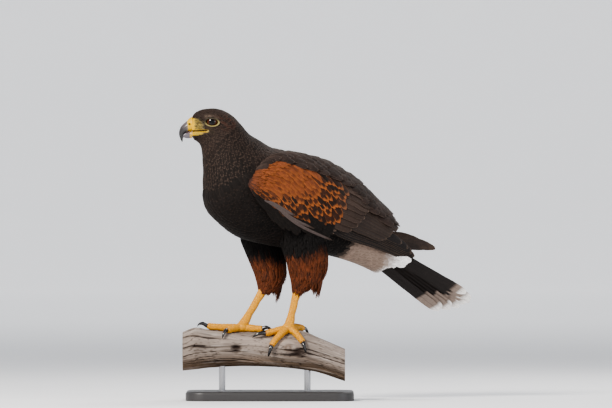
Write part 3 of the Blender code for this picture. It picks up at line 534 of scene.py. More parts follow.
def vane_triangles(rows, columns):
    """Triangles of one vane: a domed top, a flat underside between the borders and two end caps."""
    across = columns + 1
    a = np.arange(rows - 1) * across
    b = a + across
    end = (rows - 1) * across
    caps = [(0, k + 1, k) for k in range(1, columns)]
    caps += [(end, end + k, end + k + 1) for k in range(1, columns)]
    under = (np.stack([a, b, b + columns], -1), np.stack([a, b + columns, a + columns], -1))
    return np.concatenate([grid_triangles(rows, across), *under, np.array(caps)])


def lay_vanes(
    gather, skin, roots, tips, half, lifts, tone, edge, shape, columns=2, thick=0.4, arch=0.1, edge_width=0.2,
    roll=0.0, ragged=0.0, uv=None, patch=TUFT_PATCH, tip_tone=None, seed=1,
):
    """Adds one closed vane per root, over the skin from root to tip.

    half is its half width and lifts its height over the skin at root and tip. thick domes its middle and
    arch bends its borders down. tip_tone may change its tone along it.
    """
    count = len(roots)
    shares, widths = np.array(shape, float).T
    size = (len(shares), columns + 1)
    random = np.random.default_rng(seed)
    roots, tips = np.asarray(roots, float), np.asarray(tips, float)
    half, roll, edge_width = (
        np.broadcast_to(np.asarray(value, float), (count,)) for value in (half, roll, edge_width)
    )
    lifts = np.broadcast_to(np.asarray(lifts, float), (count, 2))
    along = roots[:, None, :] + (tips - roots)[:, None, :] * shares[None, :, None]
    lift = lifts[:, :1] + (lifts[:, 1:] - lifts[:, :1]) * np.minimum(1.0, LIFT_SPEED * shares)
    middle = skin(along[:, :, 0], along[:, :, 1], lift)
    out = unit(skin(along[:, :, 0], along[:, :, 1], lift + 1.0) - middle)
    across = unit(np.cross(np.gradient(middle, axis=1), out))
    turn = np.radians(roll)[:, None, None]
    across = across * np.cos(turn) + out * np.sin(turn)
    sides = np.linspace(-1.0, 1.0, columns + 1)
    reach = half[:, None, None] * widths[None, :, None] * sides[None, None, :]
    if ragged:
        border = (np.abs(sides) > 0.99)[None, None, :]
        reach = reach * (1.0 + random.uniform(-ragged, ragged * 0.4, (count, *size)) * border)
    dome = thick * (1.0 - sides**2) - arch * half[:, None, None] * sides**2 * widths[None, :, None]
    points = middle[:, :, None] + across[:, :, None] * reach[..., None] + out[:, :, None] * dome[..., None]
    vanes = np.zeros((count, *size, 3))
    vanes[..., 0] = sides
    vanes[..., 1] = shares[:, None]
    vanes[..., 2] = edge_width[:, None, None]
    length = np.linalg.norm(middle[:, -1] - middle[:, 0], axis=-1)
    barbs = length[:, None, None] * shares[None, :, None] - BARB_SLANT * np.abs(reach)
    barbs = barbs + BARB_SHIFT * random.random((count, 1, 1))
    tones, edges = (
        np.broadcast_to(np.broadcast_to(colour, (count, 3))[:, None, None, :], (count, *size, 3))
        for colour in (tone, edge)
    )
    if tip_tone is not None:
        tones = tip_tone(tones, shares[None, :, None, None], sides[None, None, :, None], random)
    if uv is None:
        uv = np.stack([(roots[:, 1] % 360.0) / 360.0, 0.03 + 0.94 * (roots[:, 0] / UV_PLACES)], -1)
    patch = np.broadcast_to(np.asarray(patch, float), (2,))
    uvs = np.zeros((count, *size, 2))
    uvs[..., 0] = uv[:, 0][:, None, None] + patch[0] * sides
    uvs[..., 1] = uv[:, 1][:, None, None] + patch[1] * (2.0 * shares[:, None] - 1.0)
    starts = (np.arange(count) * size[0] * size[1])[:, None, None]
    gather.add(
        points.reshape(-1, 3),
        (vane_triangles(size[0], columns)[None] + starts).reshape(-1, 3),
        tones.reshape(-1, 3),
        np.clip(uvs, 0.001, 0.999).reshape(-1, 2),
        edges.reshape(-1, 3),
        vanes.reshape(-1, 3),
        barbs.ravel(),
    )


def speed_of(skin, place, degrees):
    """Millimetres along the skin for each whole place."""
    return np.linalg.norm(skin(place + 0.05, degrees, 0.0) - skin(place - 0.05, degrees, 0.0), axis=-1) / 0.1


def field(skin, start, end, low, high, exposure, spacing, seed):
    """Staggered rows of roots over a skin: exposure and spacing are millimetres at a place."""
    random = np.random.default_rng(seed)
    found = []
    place = start
    row = 0
    while place < end:
        bottom = low(place) if callable(low) else low
        top = high(place) if callable(high) else high
        angles = np.linspace(bottom, top, ARC_STEPS)
        row_places = np.full(ARC_STEPS, place)
        steps = np.linalg.norm(np.diff(skin(row_places, angles, 0.0), axis=0), axis=1)
        arc = np.concatenate([[0.0], np.cumsum(steps)])
        speeds = speed_of(skin, row_places, angles)
        fastest = float(speeds.max())
        count = max(2, int(round(arc[-1] / spacing(place))))
        at = (np.arange(count) + 0.5 * (row % 2) + random.uniform(-0.18, 0.18, count)) / count
        degrees = np.interp(at * arc[-1], arc, angles)
        local = np.interp(degrees, angles, speeds)
        keep = random.random(count) < np.maximum(0.12, 1.35 * local / fastest)
        step = exposure(place) / fastest
        shift = random.uniform(-0.22, 0.22, count) * step
        found.append(np.stack([place + shift, degrees], -1)[keep])
        place += step
        row += 1
    return np.concatenate(found)


def along_skin(skin, roots, length, most=2.4):
    """Tips that lie the given millimetres from the roots, towards the tail."""
    reach = np.minimum(length / np.maximum(speed_of(skin, roots[:, 0], roots[:, 1]), 1e-3), most)
    return np.stack([roots[:, 0] + reach, roots[:, 1]], -1)


def vary(colour, count, amount, random):
    """One colour for each of count feathers, lighter or darker by up to the amount."""
    return np.asarray(colour) * (1.0 + random.uniform(-amount, amount, (count, 1)))


def root_and_tip(count, root, tip):
    """Lifts for count vanes: millimetres over the skin at their roots and at their tips."""
    return np.stack([np.broadcast_to(value, (count,)) for value in (root, tip)], -1)


def mix(first, second, share):
    share = np.asarray(share, float)
    if share.ndim:
        share = share[..., None]
    return np.asarray(first) * (1.0 - share) + np.asarray(second) * share


# Colours, as a picture shows them

HEAD_BROWN = srgb(33, 24, 20)
NECK_BROWN = srgb(27, 20, 17)
BREAST_BROWN = srgb(21, 16, 14)
LID_DARK = srgb(24, 18, 15)
BELLY_BROWN = srgb(15, 12, 11)
MANTLE_BROWN = srgb(45, 35, 31)
PALE_EDGE = srgb(82, 68, 60)
# A painted highlight on the brow ridge.
BROW_HIGHLIGHT = srgb(104, 90, 78)
RUFOUS = srgb(106, 58, 34)
RUFOUS_DARK = srgb(70, 39, 29)
RUFOUS_EDGE = srgb(138, 80, 42)
COVERT_CENTRE = srgb(26, 21, 18)
COVERT_GREY = srgb(62, 50, 44)
COVERT_PALE = srgb(90, 74, 63)
ALULA_GREY = srgb(78, 68, 65)
FLIGHT_BROWN = srgb(54, 44, 39)
FLIGHT_DARK = srgb(28, 22, 20)
FLIGHT_EDGE = srgb(70, 56, 46)
CHESTNUT = srgb(86, 44, 25)
CHESTNUT_DARK = srgb(44, 22, 13)
CHESTNUT_PALE = srgb(122, 72, 42)
# The tail coverts' white in painted shade, as tan.
COVERT_SHADE_TAN = srgb(134, 116, 104)
COVERT_WHITE = srgb(238, 234, 232)
TAIL_DARK = srgb(31, 25, 23)
# The tail's white band in painted shade, as tan.
TAIL_BAND_SHADE = srgb(112, 92, 78)
TAIL_WHITE = srgb(240, 236, 232)
YELLOW = srgb(192, 150, 0)
LORE_OLIVE = srgb(104, 92, 64)
LORE_YELLOW = srgb(156, 132, 42)
LORE_GREY = srgb(92, 78, 62)
# Painted shade in the mouth's groove.
MOUTH_SHADE = srgb(26, 12, 10)
RING_YELLOW = srgb(152, 138, 88)
LEG_YELLOW = srgb(208, 148, 40)
LEG_SEAM = srgb(150, 96, 36)
CLAW_BLACK = srgb(24, 21, 22)
WOOD_PALE = srgb(146, 133, 124)
WOOD_GREY = srgb(104, 94, 86)
WOOD_UNDER = srgb(104, 84, 66)
WOOD_BLEACHED = srgb(186, 176, 168)
# Painted shade in the cracks and the hollow.
WOOD_CRACK_SHADE = srgb(38, 27, 22)
WOOD_KNOT = srgb(74, 56, 44)
END_BROWN = srgb(96, 76, 60)
END_PALE = srgb(142, 122, 102)
# Painted shade in the drying cracks of the sawn ends.
END_CRACK_SHADE = srgb(44, 33, 28)


# Materials

SOCKETS = {
    "roughness": "Roughness",
    "specular": "Specular IOR Level",
    "metallic": "Metallic",
    "sheen": "Sheen Weight",
    "sheen_roughness": "Sheen Roughness",
    "sheen_tint": "Sheen Tint",
    "coat": "Coat Weight",
    "coat_roughness": "Coat Roughness",
    "subsurface": "Subsurface Weight",
    "subsurface_radius": "Subsurface Radius",
    "emission_colour": "Emission Color",
}


def new_material(name):
    made = bpy.data.materials.new(name)
    made.use_nodes = True
    tree = made.node_tree
    return made, tree, tree.nodes["Principled BSDF"]


def node(tree, kind, **settings):
    made = tree.nodes.new(kind)
    for key, value in settings.items():
        if hasattr(made, key):
            setattr(made, key, value)
        else:
            made.inputs[key].default_value = value
    return made


def math_node(tree, operation, first, second=None):
    made = node(tree, "ShaderNodeMath", operation=operation)
    for index, value in enumerate((first, second)):
        if value is None:
            continue
        if isinstance(value, (int, float)):
            made.inputs[index].default_value = value
        else:
            tree.links.new(value, made.inputs[index])
    return made.outputs[0]


def times(tree, first, second):
    return math_node(tree, "MULTIPLY", first, second)


def plus(tree, first, second):
    return math_node(tree, "ADD", first, second)


def minus(tree, first, second):
    return math_node(tree, "SUBTRACT", first, second)


def mottled(tree, low, value, amount):
    """low plus a value times an amount: how light a mottled surface is."""
    return plus(tree, low, times(tree, value, amount))


def range_node(tree, value, low, high, low_to=0.0, high_to=1.0):
    made = node(tree, "ShaderNodeMapRange", interpolation_type="SMOOTHSTEP")
    tree.links.new(value, made.inputs["Value"])
    for key, what in (("From Min", low), ("From Max", high), ("To Min", low_to), ("To Max", high_to)):
        if isinstance(what, (int, float)):
            made.inputs[key].default_value = what
        else:
            tree.links.new(what, made.inputs[key])
    return made.outputs["Result"]


def mix_colour(tree, share, first, second, blend="MIX"):
    made = node(tree, "ShaderNodeMix", data_type="RGBA", blend_type=blend)
    for socket, value in ((made.inputs[0], share), (made.inputs[6], first), (made.inputs[7], second)):
        if isinstance(value, (int, float)):
            socket.default_value = value
        elif isinstance(value, (tuple, list, np.ndarray)):
            socket.default_value = (*value[:3], 1.0)
        else:
            tree.links.new(value, socket)
    return made.outputs[2]


def attribute(tree, name, output):
    made = node(tree, "ShaderNodeAttribute", attribute_name=name, attribute_type="GEOMETRY")
    return made.outputs[output]


def noise_node(tree, scale, detail=3.0, vector=None, rough=0.55, stretch=None):
    """Noise over the object's own coordinates, in metres, or over another vector."""
    if vector is None:
        vector = node(tree, "ShaderNodeTexCoord").outputs["Object"]
    if stretch is not None:
        mapping = node(tree, "ShaderNodeMapping")
        mapping.inputs["Scale"].default_value = stretch
        tree.links.new(vector, mapping.inputs["Vector"])
        vector = mapping.outputs[0]
    made = node(tree, "ShaderNodeTexNoise")
    made.inputs["Scale"].default_value = scale
    made.inputs["Detail"].default_value = detail
    made.inputs["Roughness"].default_value = rough
    tree.links.new(vector, made.inputs["Vector"])
    return made.outputs["Fac"]


def bump(tree, shader, height, strength, distance):
    made = node(tree, "ShaderNodeBump")
    made.inputs["Strength"].default_value = strength
    made.inputs["Distance"].default_value = distance
    tree.links.new(height, made.inputs["Height"])
    tree.links.new(made.outputs[0], shader.inputs["Normal"])


def shade(tree, shader, colour, *light):
    """Multiplies a colour by one light value, or by one each for red, green and blue, as the base colour."""
    combine = node(tree, "ShaderNodeCombineXYZ")
    for index in range(3):
        tree.links.new(light[index % len(light)], combine.inputs[index])
    lit = mix_colour(tree, 1.0, colour, combine.outputs[0], "MULTIPLY")
    tree.links.new(lit, shader.inputs["Base Color"])


def finish_surface(shader, **values):
    """Sets constants on a shader's sockets, named in lower case with _ for a space."""
    for key, value in values.items():
        shader.inputs[SOCKETS[key]].default_value = value


def feather_material(name, roughness, specular, sheen_tint, barb_strength):
    """Vanes with pale edges, a shaft and slanting barbs, coloured by their own attributes."""
    made, tree, shader = new_material(name)
    vane = node(tree, "ShaderNodeSeparateXYZ")
    tree.links.new(attribute(tree, "vane", "Vector"), vane.inputs[0])
    across = math_node(tree, "ABSOLUTE", vane.outputs[0])
    along, width = vane.outputs[1], vane.outputs[2]
    wobble = times(tree, minus(tree, noise_node(tree, 900.0, 2.0), 0.5), 0.35)
    side_start = minus(tree, 1.0, width)
    side_end = minus(tree, 1.0, times(tree, width, 0.45))
    side = range_node(tree, plus(tree, across, wobble), side_start, side_end)
    tip_start = minus(tree, 1.0, times(tree, width, 0.55))
    tip_end = minus(tree, 1.0, times(tree, width, 0.2))
    tip = range_node(tree, plus(tree, along, times(tree, wobble, 0.3)), tip_start, tip_end)
    edge = times(tree, math_node(tree, "MAXIMUM", side, tip), math_node(tree, "GREATER_THAN", width, 0.01))
    colour = mix_colour(tree, edge, attribute(tree, "tone", "Color"), attribute(tree, "edge", "Color"))
    stripes = math_node(tree, "SINE", times(tree, attribute(tree, "barb", "Fac"), 6.6))
    shaft = range_node(tree, across, 0.02, 0.12, 1.0, 0.0)
    patches = mottled(tree, 0.72, noise_node(tree, 260.0, 4.0), 0.56)
    light = times(tree, mottled(tree, 1.0, stripes, barb_strength), patches)
    light = times(tree, light, minus(tree, 1.0, times(tree, shaft, 0.25)))
    shade(tree, shader, colour, light)
    finish_surface(
        shader, roughness=roughness, specular=specular, sheen=0.02, sheen_roughness=0.45,
        sheen_tint=(*sheen_tint, 1.0),
    )
    bump(tree, shader, mottled(tree, shaft, stripes, 0.5), 0.35, 0.00015)
    return made


def skin_material(name, roughness, pores=1400.0, amount=0.35, specular=0.3, depth=0.0002):
    """Skin or down coloured by its own attribute, with fine mottling and grain."""
    made, tree, shader = new_material(name)
    grain = noise_node(tree, pores, 3.0)
    both = plus(tree, times(tree, grain, 0.5), times(tree, noise_node(tree, 150.0, 3.0), 0.5))
    shade(tree, shader, attribute(tree, "tone", "Color"), mottled(tree, 1.0 - amount / 2, both, amount))
    finish_surface(shader, roughness=roughness, specular=specular)
    bump(tree, shader, grain, 0.5, depth)
    return made


def scale_material(name):
    """The scaled skin of the legs and toes: small plates with darker, browner seams."""
    made, tree, shader = new_material(name)
    cells = node(tree, "ShaderNodeTexVoronoi", feature="DISTANCE_TO_EDGE")
    cells.inputs["Scale"].default_value = 620.0
    tree.links.new(node(tree, "ShaderNodeTexCoord").outputs["Object"], cells.inputs["Vector"])
    seam = range_node(tree, cells.outputs["Distance"], 0.02, 0.16)
    patches = mottled(tree, 0.8, noise_node(tree, 240.0, 3.0), 0.4)
    light = times(tree, mottled(tree, 0.62, seam, 0.38), patches)
    green = math_node(tree, "POWER", light, 1.25)
    blue = math_node(tree, "POWER", light, 1.7)
    shade(tree, shader, attribute(tree, "tone", "Color"), light, green, blue)
    finish_surface(
        shader, roughness=0.42, specular=0.4, subsurface=0.08, subsurface_radius=(0.004, 0.002, 0.001)
    )
    bump(tree, shader, seam, 0.6, 0.0004)
    return made


def horn_material(name, roughness):
    """Polished horn with faint streaks along it."""
    made, tree, shader = new_material(name)
    streaks = noise_node(tree, 500.0, 3.0, stretch=(0.4, 1.0, 1.6))
    shade(tree, shader, attribute(tree, "tone", "Color"), mottled(tree, 0.75, streaks, 0.5))
    finish_surface(shader, roughness=roughness, specular=0.5, coat=0.35, coat_roughness=0.12)
    bump(tree, shader, streaks, 0.15, 0.0002)
    return made


def eye_material():
    """Iris and pupil by the distance in millimetres from the eye's own axis, under a clear wet coat."""
    made, tree, shader = new_material("eye")
    split = node(tree, "ShaderNodeSeparateXYZ")
    tree.links.new(node(tree, "ShaderNodeTexCoord").outputs["Object"], split.inputs[0])
    x, z = (
        times(tree, minus(tree, split.outputs[axis], middle * METRES), 1.0 / METRES)
        for axis, middle in ((0, EYE_X), (2, EYE_Z))
    )
    distance = math_node(tree, "SQRT", plus(tree, times(tree, x, x), times(tree, z, z)))
    fibres = minus(tree, noise_node(tree, 1500.0, 3.0), 0.5)
    distance = plus(tree, distance, times(tree, fibres, 0.7))
    iris = mix_colour(tree, range_node(tree, distance, 4.0, 7.6), srgb(30, 13, 7), srgb(78, 38, 15))
    iris = mix_colour(tree, range_node(tree, distance, 6.8, 8.0), iris, srgb(22, 14, 10))
    colour = mix_colour(tree, range_node(tree, distance, *PUPIL_EDGE), srgb(6, 5, 5), iris)
    tree.links.new(colour, shader.inputs["Base Color"])
    finish_surface(shader, roughness=0.12, specular=0.15, coat=0.3, coat_roughness=0.02)
    return made


def wood_material():
    """Weathered grey wood with long fibres, coloured by its own attribute."""
    made, tree, shader = new_material("weathered_wood")
    fibre = noise_node(tree, 60.0, 6.0, rough=0.7, stretch=(0.35, 6.0, 6.0))
    light = times(tree, mottled(tree, 0.5, fibre, 1.0), mottled(tree, 0.75, noise_node(tree, 28.0, 4.0), 0.5))
    shade(tree, shader, attribute(tree, "tone", "Color"), light)
    finish_surface(shader, roughness=0.88, specular=0.2)
    bump(tree, shader, fibre, 0.7, 0.0008)
    return made


def paint_material(name, colour, roughness, metallic, grain, brushed=None):
    """Painted or brushed metal of the stand."""
    made, tree, shader = new_material(name)
    speck = noise_node(tree, grain, 3.0, stretch=brushed)
    tree.links.new(mix_colour(tree, speck, colour * 0.8, colour * 1.2), shader.inputs["Base Color"])
    rough = range_node(tree, speck, 0.2, 0.8, roughness * 0.85, roughness * 1.15)
    tree.links.new(rough, shader.inputs["Roughness"])
    finish_surface(shader, metallic=metallic)
    bump(tree, shader, speck, 0.08, 0.0002)
    return made


FEATHER = feather_material("feather", 0.72, 0.14, (0.9, 0.8, 0.72), 0.1)
FLIGHT = feather_material("flight_feather", 0.58, 0.18, (0.9, 0.84, 0.78), 0.04)
DOWN = skin_material("down", 0.85)
FACE = skin_material("bare_skin", 0.5, 900.0, 0.3, 0.4, 0.0004)
SCALES = scale_material("leg_scales")
HORN = horn_material("horn", 0.22)
CLAW = horn_material("claw_horn", 0.18)
EYE = eye_material()
WOOD = wood_material()
BASE_PAINT = paint_material("stand_base_paint", srgb(52, 50, 50), 0.45, 0.0, 1800.0)
ROD_STEEL = paint_material("stand_steel", srgb(170, 170, 172), 0.3, 1.0, 700.0, (1.0, 1.0, 0.02))


# Body skin

FACE_END = 6.5
FACE_ROWS = 260
BODY_ROWS = 161
SKIN_SIDES = 132
COAT_DEPTH_PLACES = (0, 1.2, 3, 7, 11, 16, 19.6)
COAT_DEPTHS = (-0.2, -1.2, -2.4, -2.8, -3.0, -2.6, -2.0)
MOUTH_SLOPE = 0.04


def bell(distance, width):
    """1 at no distance, falling smoothly to nothing at about twice the width."""
    return np.exp(-((distance / width) ** 2))


def head_shaped(points):
    """Adds brow ridges, eye sockets and hollow lores to points of the body's skin."""
    side = np.where(points[..., 1] > HEAD_Y, 1.0, -1.0)
    x, z = points[..., 0], points[..., 2]
    bulge = BROW_HEIGHT * bell(x - EYE_X + 3.0, BROW_LENGTH) * bell(z - EYE_Z - BROW_ABOVE_EYE, 3.6)
    ring = ((x - EYE_X) / (EYE_OPENING[0] + 1.6)) ** 2 + ((z - EYE_Z) / (EYE_OPENING[1] + 1.4)) ** 2
    sunk = SOCKET_DEPTH * np.exp(-(ring**3))
    lore = 1.6 * bell(x + 108.0, 8.0) * bell(z - 427.0, 6.0)
    moved = points.copy()
    moved[..., 1] += side * (bulge - sunk - lore)
    moved[..., 2] += 0.2 * bulge
    return moved


def body_skin(place, degrees, lift=0.0):
    return head_shaped(BODY.point(place, degrees, lift))


def yellow_share(points):
    """How bare and yellow the head's skin is: the lores, the gape and the base of the lower bill."""
    x, z = points[..., 0], points[..., 2]
    slanted = x + 0.9 * np.maximum(z - 427.0, 0.0) + 1.6 * np.maximum(412.0 - z, 0.0)
    front = 1.0 - step_between(-110.0, -97.0, slanted)
    height = step_between(408.0, 411.0, z) * (1.0 - step_between(433.0, 437.5, z - 0.15 * (x + 120.0)))
    gape = (1.0 - step_between(-97.0, -91.0, x)) * bell(z - MOUTH_Z - 0.5, 2.6)
    return np.clip(np.maximum(front * height, gape), 0.0, 1.0)


def eye_distance(points):
    """Distance from the eye, where 1 is the edge of its opening."""
    x, z = (points[..., 0] - EYE_X) / EYE_OPENING[0], (points[..., 2] - EYE_Z) / EYE_OPENING[1]
    return np.hypot(x, z)


def body_colour(place, degrees):
    """Plumage colour over the body: head, neck, back and belly, then the pale tail coverts, with painted
    light on the upper side and painted shade below.
    """
    place, degrees = np.broadcast_arrays(np.asarray(place, float), np.asarray(degrees, float))
    top = 0.5 + 0.5 * np.sin(np.radians(degrees))
    colour = mix(HEAD_BROWN, NECK_BROWN, step_between(5.0, 8.5, place))
    # Lighter on the mantle above, darker on the breast and belly below: painted light on top and painted
    # shade underneath.
    lower = mix(BREAST_BROWN, BELLY_BROWN, step_between(10.5, 13.0, place))
    torso = mix(lower, MANTLE_BROWN, step_between(0.45, 0.8, top))
    colour = mix(colour, torso, step_between(8.0, 10.5, place))
    # Painted shade: the white coverts are tan underneath and turn white sooner on the upper side, as painted
    # light.
    pale = mix(COVERT_SHADE_TAN, COVERT_WHITE, step_between(18.0, 19.1, place + 1.2 * (top - 0.5)))
    tan = step_between(16.3, 16.75, place + 0.25 * (top - 0.5))
    return mix(colour, pale, tan)


def build_skin():
    """One skin for head, neck, torso and tail coverts, sunk under the coat except on the bare face."""
    face_places = np.linspace(0.0, FACE_END, FACE_ROWS)
    places = np.concatenate([face_places, np.linspace(FACE_END, COVERTS_END, BODY_ROWS)[1:]])
    degrees = np.linspace(0.0, 360.0, SKIN_SIDES, endpoint=False)
    grid_place, grid_degrees = np.meshgrid(places, degrees, indexing="ij")
    sink = np.interp(grid_place, COAT_DEPTH_PLACES, COAT_DEPTHS)
    rings = body_skin(grid_place, grid_degrees, sink)
    x, z = rings[..., 0], rings[..., 2]
    side = np.where(rings[..., 1] > HEAD_Y, 1.0, -1.0)
    above_mouth = z - MOUTH_Z - MOUTH_SLOPE * (x + 121.0)
    groove = bell(above_mouth, 1.15) * (1.0 - step_between(-98.0, -94.0, x)) * (z < 440.0)
    lips = bell(np.abs(above_mouth) - 1.9, 1.2) * (1.0 - step_between(-100.0, -93.0, x))
    on_side = np.abs(np.cos(np.radians(grid_degrees))) > 0.3
    rings[..., 1] += side * (0.8 * lips - 1.8 * groove) * on_side
    points, triangles = loft(rings)

    yellow = yellow_share(rings)
    bright = 1.0 - step_between(-119.5, -113.0, x + 2.0 * noise(rings, 2.2, 15))
    bare = mix(LORE_OLIVE, LORE_YELLOW, step_between(0.3, 0.9, yellow))
    bare = mix(bare, YELLOW, bright)
    bare = mix(bare, LORE_GREY, 0.45 * step_between(0.15, 0.7, noise(rings, 1.5, 16)) * (1.0 - bright))
    bare = mix(bare, YELLOW * 0.92, (1.0 - step_between(-98.0, -93.0, x)) * bell(z - MOUTH_Z, 3.0))
    # Under the coat the skin takes the plumage colour darkened to 0.7, as painted shade in the gaps between
    # feathers.
    tones = mix(body_colour(grid_place, grid_degrees) * 0.7, bare, step_between(0.12, 0.6, yellow))
    # Painted shade: the groove between the mandibles is darkened.
    tones = mix(tones, MOUTH_SHADE, np.clip(1.6 * groove * on_side, 0, 1) * (yellow > 0.2))
    uv = loft_uv((degrees / 360.0)[None, :], (0.03 + 0.94 * places / UV_PLACES)[:, None])
    nodes = ("head", "neck", "torso", "tail_coverts")
    mesh_piece("body_skin", points, triangles, FACE, nodes, with_ends(tones), uv)


def coat(name, roots, tips, half, lifts, tone, edge, shape, slot, node_name, seed, **options):
    """One piece of feathers over the body's skin."""
    gather = Gather()
    lay_vanes(gather, body_skin, roots, tips, half, lifts, tone, edge, shape, seed=seed, **options)
    gather.build(name, FEATHER, slot, (node_name,))


def head_tones(roots, where, random):
    """The head's feather colours: a painted highlight along the brow ridge over a painted shadow under it,
    and a rufous tinge behind the eye.
    """
    count = len(roots)
    x, z = where[:, 0], where[:, 2]
    tone = vary(body_colour(roots[:, 0], roots[:, 1]), count, 0.3, random)
    cheek = bell(x + 99.0, 9.0) * bell(z - 421.0, 7.0)
    tone = mix(tone, LORE_OLIVE * 0.5, 0.3 * cheek * random.random(count))
    brow = step_between(-107.0, -102.0, x) * (1.0 - step_between(-88.0, -83.0, x))
    # Painted shadow under the brow ridge, then a painted highlight along the ridge above it.
    tone = tone * (1.0 - 0.5 * brow * bell(z - 435.0, 1.3))[:, None]
    tone = mix(tone, BROW_HIGHLIGHT, 0.6 * brow * bell(z - 438.6, 2.2))
    nape = 0.7 * bell(x + 72.0, 15.0) * bell(z - 437.0, 11.0)
    return mix(tone, RUFOUS_DARK, 0.7 * nape * (random.random(count) > 0.55))


def build_head_coat(random):
    """Tiny feathers on the face, larger ones on the crown and nape."""
    roots = field(
        body_skin, 0.15, 6.6, 0.0, 360.0, lambda p: 1.5 + 0.32 * p, lambda p: 1.9 + 0.26 * p, SEED + 1
    )
    where = body_skin(roots[:, 0], roots[:, 1])
    clear = (yellow_share(where) < 0.3) & (eye_distance(where) > 1.32)
    roots, where = roots[clear], where[clear]
    count = len(roots)
    near_face = bell(where[:, 0] + 100.0, 14.0) * bell(where[:, 2] - 424.0, 14.0)
    length = (4.6 + 1.15 * roots[:, 0]) * (1.0 - 0.35 * near_face) * random.uniform(0.85, 1.15, count)
    half = length * random.uniform(0.22, 0.3, count)
    tone = head_tones(roots, where, random)
    sunk = np.interp(roots[:, 0], (0, 1.2, 3), (0.0, 0.8, 1.6))
    lifts = np.stack([-0.6 - sunk, 0.25 + 0.1 * length - sunk], -1)
    tips = along_skin(body_skin, roots, length)
    coat("coat_head", roots, tips, half, lifts, tone, mix(tone, PALE_EDGE, 0.35), ROUND_SMALL,
         "dark_plumage", "head", 21, thick=0.3, edge_width=0.45, ragged=0.25)


def build_lore_bristles(random):
    """Fine dark bristles over the bare skin between bill and eye."""
    roots = field(body_skin, 0.3, 3.6, 0.0, 360.0, lambda p: 1.9, lambda p: 2.7, SEED + 17)
    where = body_skin(roots[:, 0], roots[:, 1])
    wanted = (yellow_share(where) > 0.25) & (eye_distance(where) > 1.3)
    wanted &= (where[:, 0] > -117.5) & (where[:, 0] < -97.0) & (where[:, 2] > 419.5)
    roots = roots[wanted]
    count = len(roots)
    tips = along_skin(body_skin, roots, random.uniform(3.0, 5.0, count))
    tips[:, 1] += random.uniform(-4.0, 4.0, count)
    tone = vary(mix(HEAD_BROWN, LORE_OLIVE, 0.25 + 0.7 * random.random(count)), count, 0.3, random)
    coat("lore_bristles", roots, tips, 0.34, (-0.6, 0.9), tone, tone, LOCK, "dark_plumage", "head", 25,
         thick=0.2, edge_width=0.0)


def build_body_coat():
    """The coat from the bill to the tail, in five pieces."""
    random = np.random.default_rng(SEED)
    build_head_coat(random)
    build_lore_bristles(random)

    roots = field(
        body_skin, 6.3, 10.6, 0.0, 360.0,
        lambda p: 3.4 + 0.5 * (p - 6), lambda p: 3.2 + 0.4 * (p - 6), SEED + 2,
    )
    count = len(roots)
    length = (12.0 + 1.2 * (roots[:, 0] - 6.0)) * random.uniform(0.85, 1.15, count)
    half = length * random.uniform(0.19, 0.25, count)
    tone = vary(body_colour(roots[:, 0], roots[:, 1]), count, 0.3, random)
    coat("coat_neck", roots, along_skin(body_skin, roots, length), half, (-2.6, 0.2), tone,
         mix(tone, PALE_EDGE, 0.5), ROUND_VANE, "dark_plumage", "neck", 22, columns=4, edge_width=0.3,
         ragged=0.22)

    roots = field(body_skin, 10.0, 16.1, 0.0, 360.0, lambda p: 6.4, lambda p: 5.4, SEED + 3)
    count = len(roots)
    back = np.sin(np.radians(roots[:, 1])) > 0.25
    length = np.where(back, 21.0, 19.0) * random.uniform(0.85, 1.15, count)
    half = length * np.where(back, 0.3, 0.24) * random.uniform(0.9, 1.1, count)
    tone = vary(body_colour(roots[:, 0], roots[:, 1]), count, 0.28, random)
    edge = mix(tone, PALE_EDGE, np.where(back, 0.55, 0.18))
    coat("coat_torso", roots, along_skin(body_skin, roots, length), half,
         root_and_tip(count, -2.2, 0.9 + 0.05 * length), tone, edge, ROUND_VANE, "dark_plumage", "torso", 23,
         columns=4, edge_width=0.22, ragged=0.2, thick=0.5)

    roots = field(body_skin, 15.6, 19.4, 0.0, 360.0, lambda p: 7.0, lambda p: 5.6, SEED + 4)
    count = len(roots)
    length = random.uniform(22.0, 30.0, count)
    tips = along_skin(body_skin, roots, length)
    upper = step_between(-0.5, 0.6, np.sin(np.radians(roots[:, 1] + 40.0)))
    tips[:, 0] = np.minimum(tips[:, 0], 19.3 + 1.6 * upper)
    tone = vary(body_colour(roots[:, 0] + 0.3, roots[:, 1]), count, 0.08, random)
    coat("coat_tail_coverts", roots, tips, length * 0.24, (-2.0, 1.6), tone, tone * 1.06, ROUND_VANE,
         "white_plumage", "tail_coverts", 24, columns=4, edge_width=0.3, ragged=0.25, thick=0.5)


# Eyes, lids and bill

LID_SIDES = 96
# Each ring of a lid: its size against the eye's opening, its depth as a share from the eyeball to the head's
# skin, a lift, and how much of the ring's pale colour it shows.
LID_PROFILE = (
    (1.0, 0.0, 0.1, 0.0), (1.03, 0.0, 0.75, 0.06), (1.09, 0.25, 0.95, 0.45), (1.17, 0.6, 0.8, 0.95),
    (1.27, 0.9, 0.55, 0.75), (1.4, 1.0, 0.1, 0.25), (1.5, 1.0, -0.9, 0.05), (1.3, 0.5, -4.0, 0.0),
    (1.0, 0.0, -1.6, 0.0),
)
LOWER_BILL_RISE = (3.6, 3.4, 3.2, 2.2)
BILL_TIP = srgb(10, 9, 10)
BILL_GREY = srgb(84, 76, 76)
BILL_BASE = srgb(130, 114, 92)
LOWER_BILL_GREY = srgb(82, 76, 82)
LOWER_BILL_RED = srgb(60, 30, 26)
CERE_PALE = srgb(214, 190, 90)
# Painted shade inside the nostrils.
NOSTRIL_SHADE = srgb(40, 26, 16)


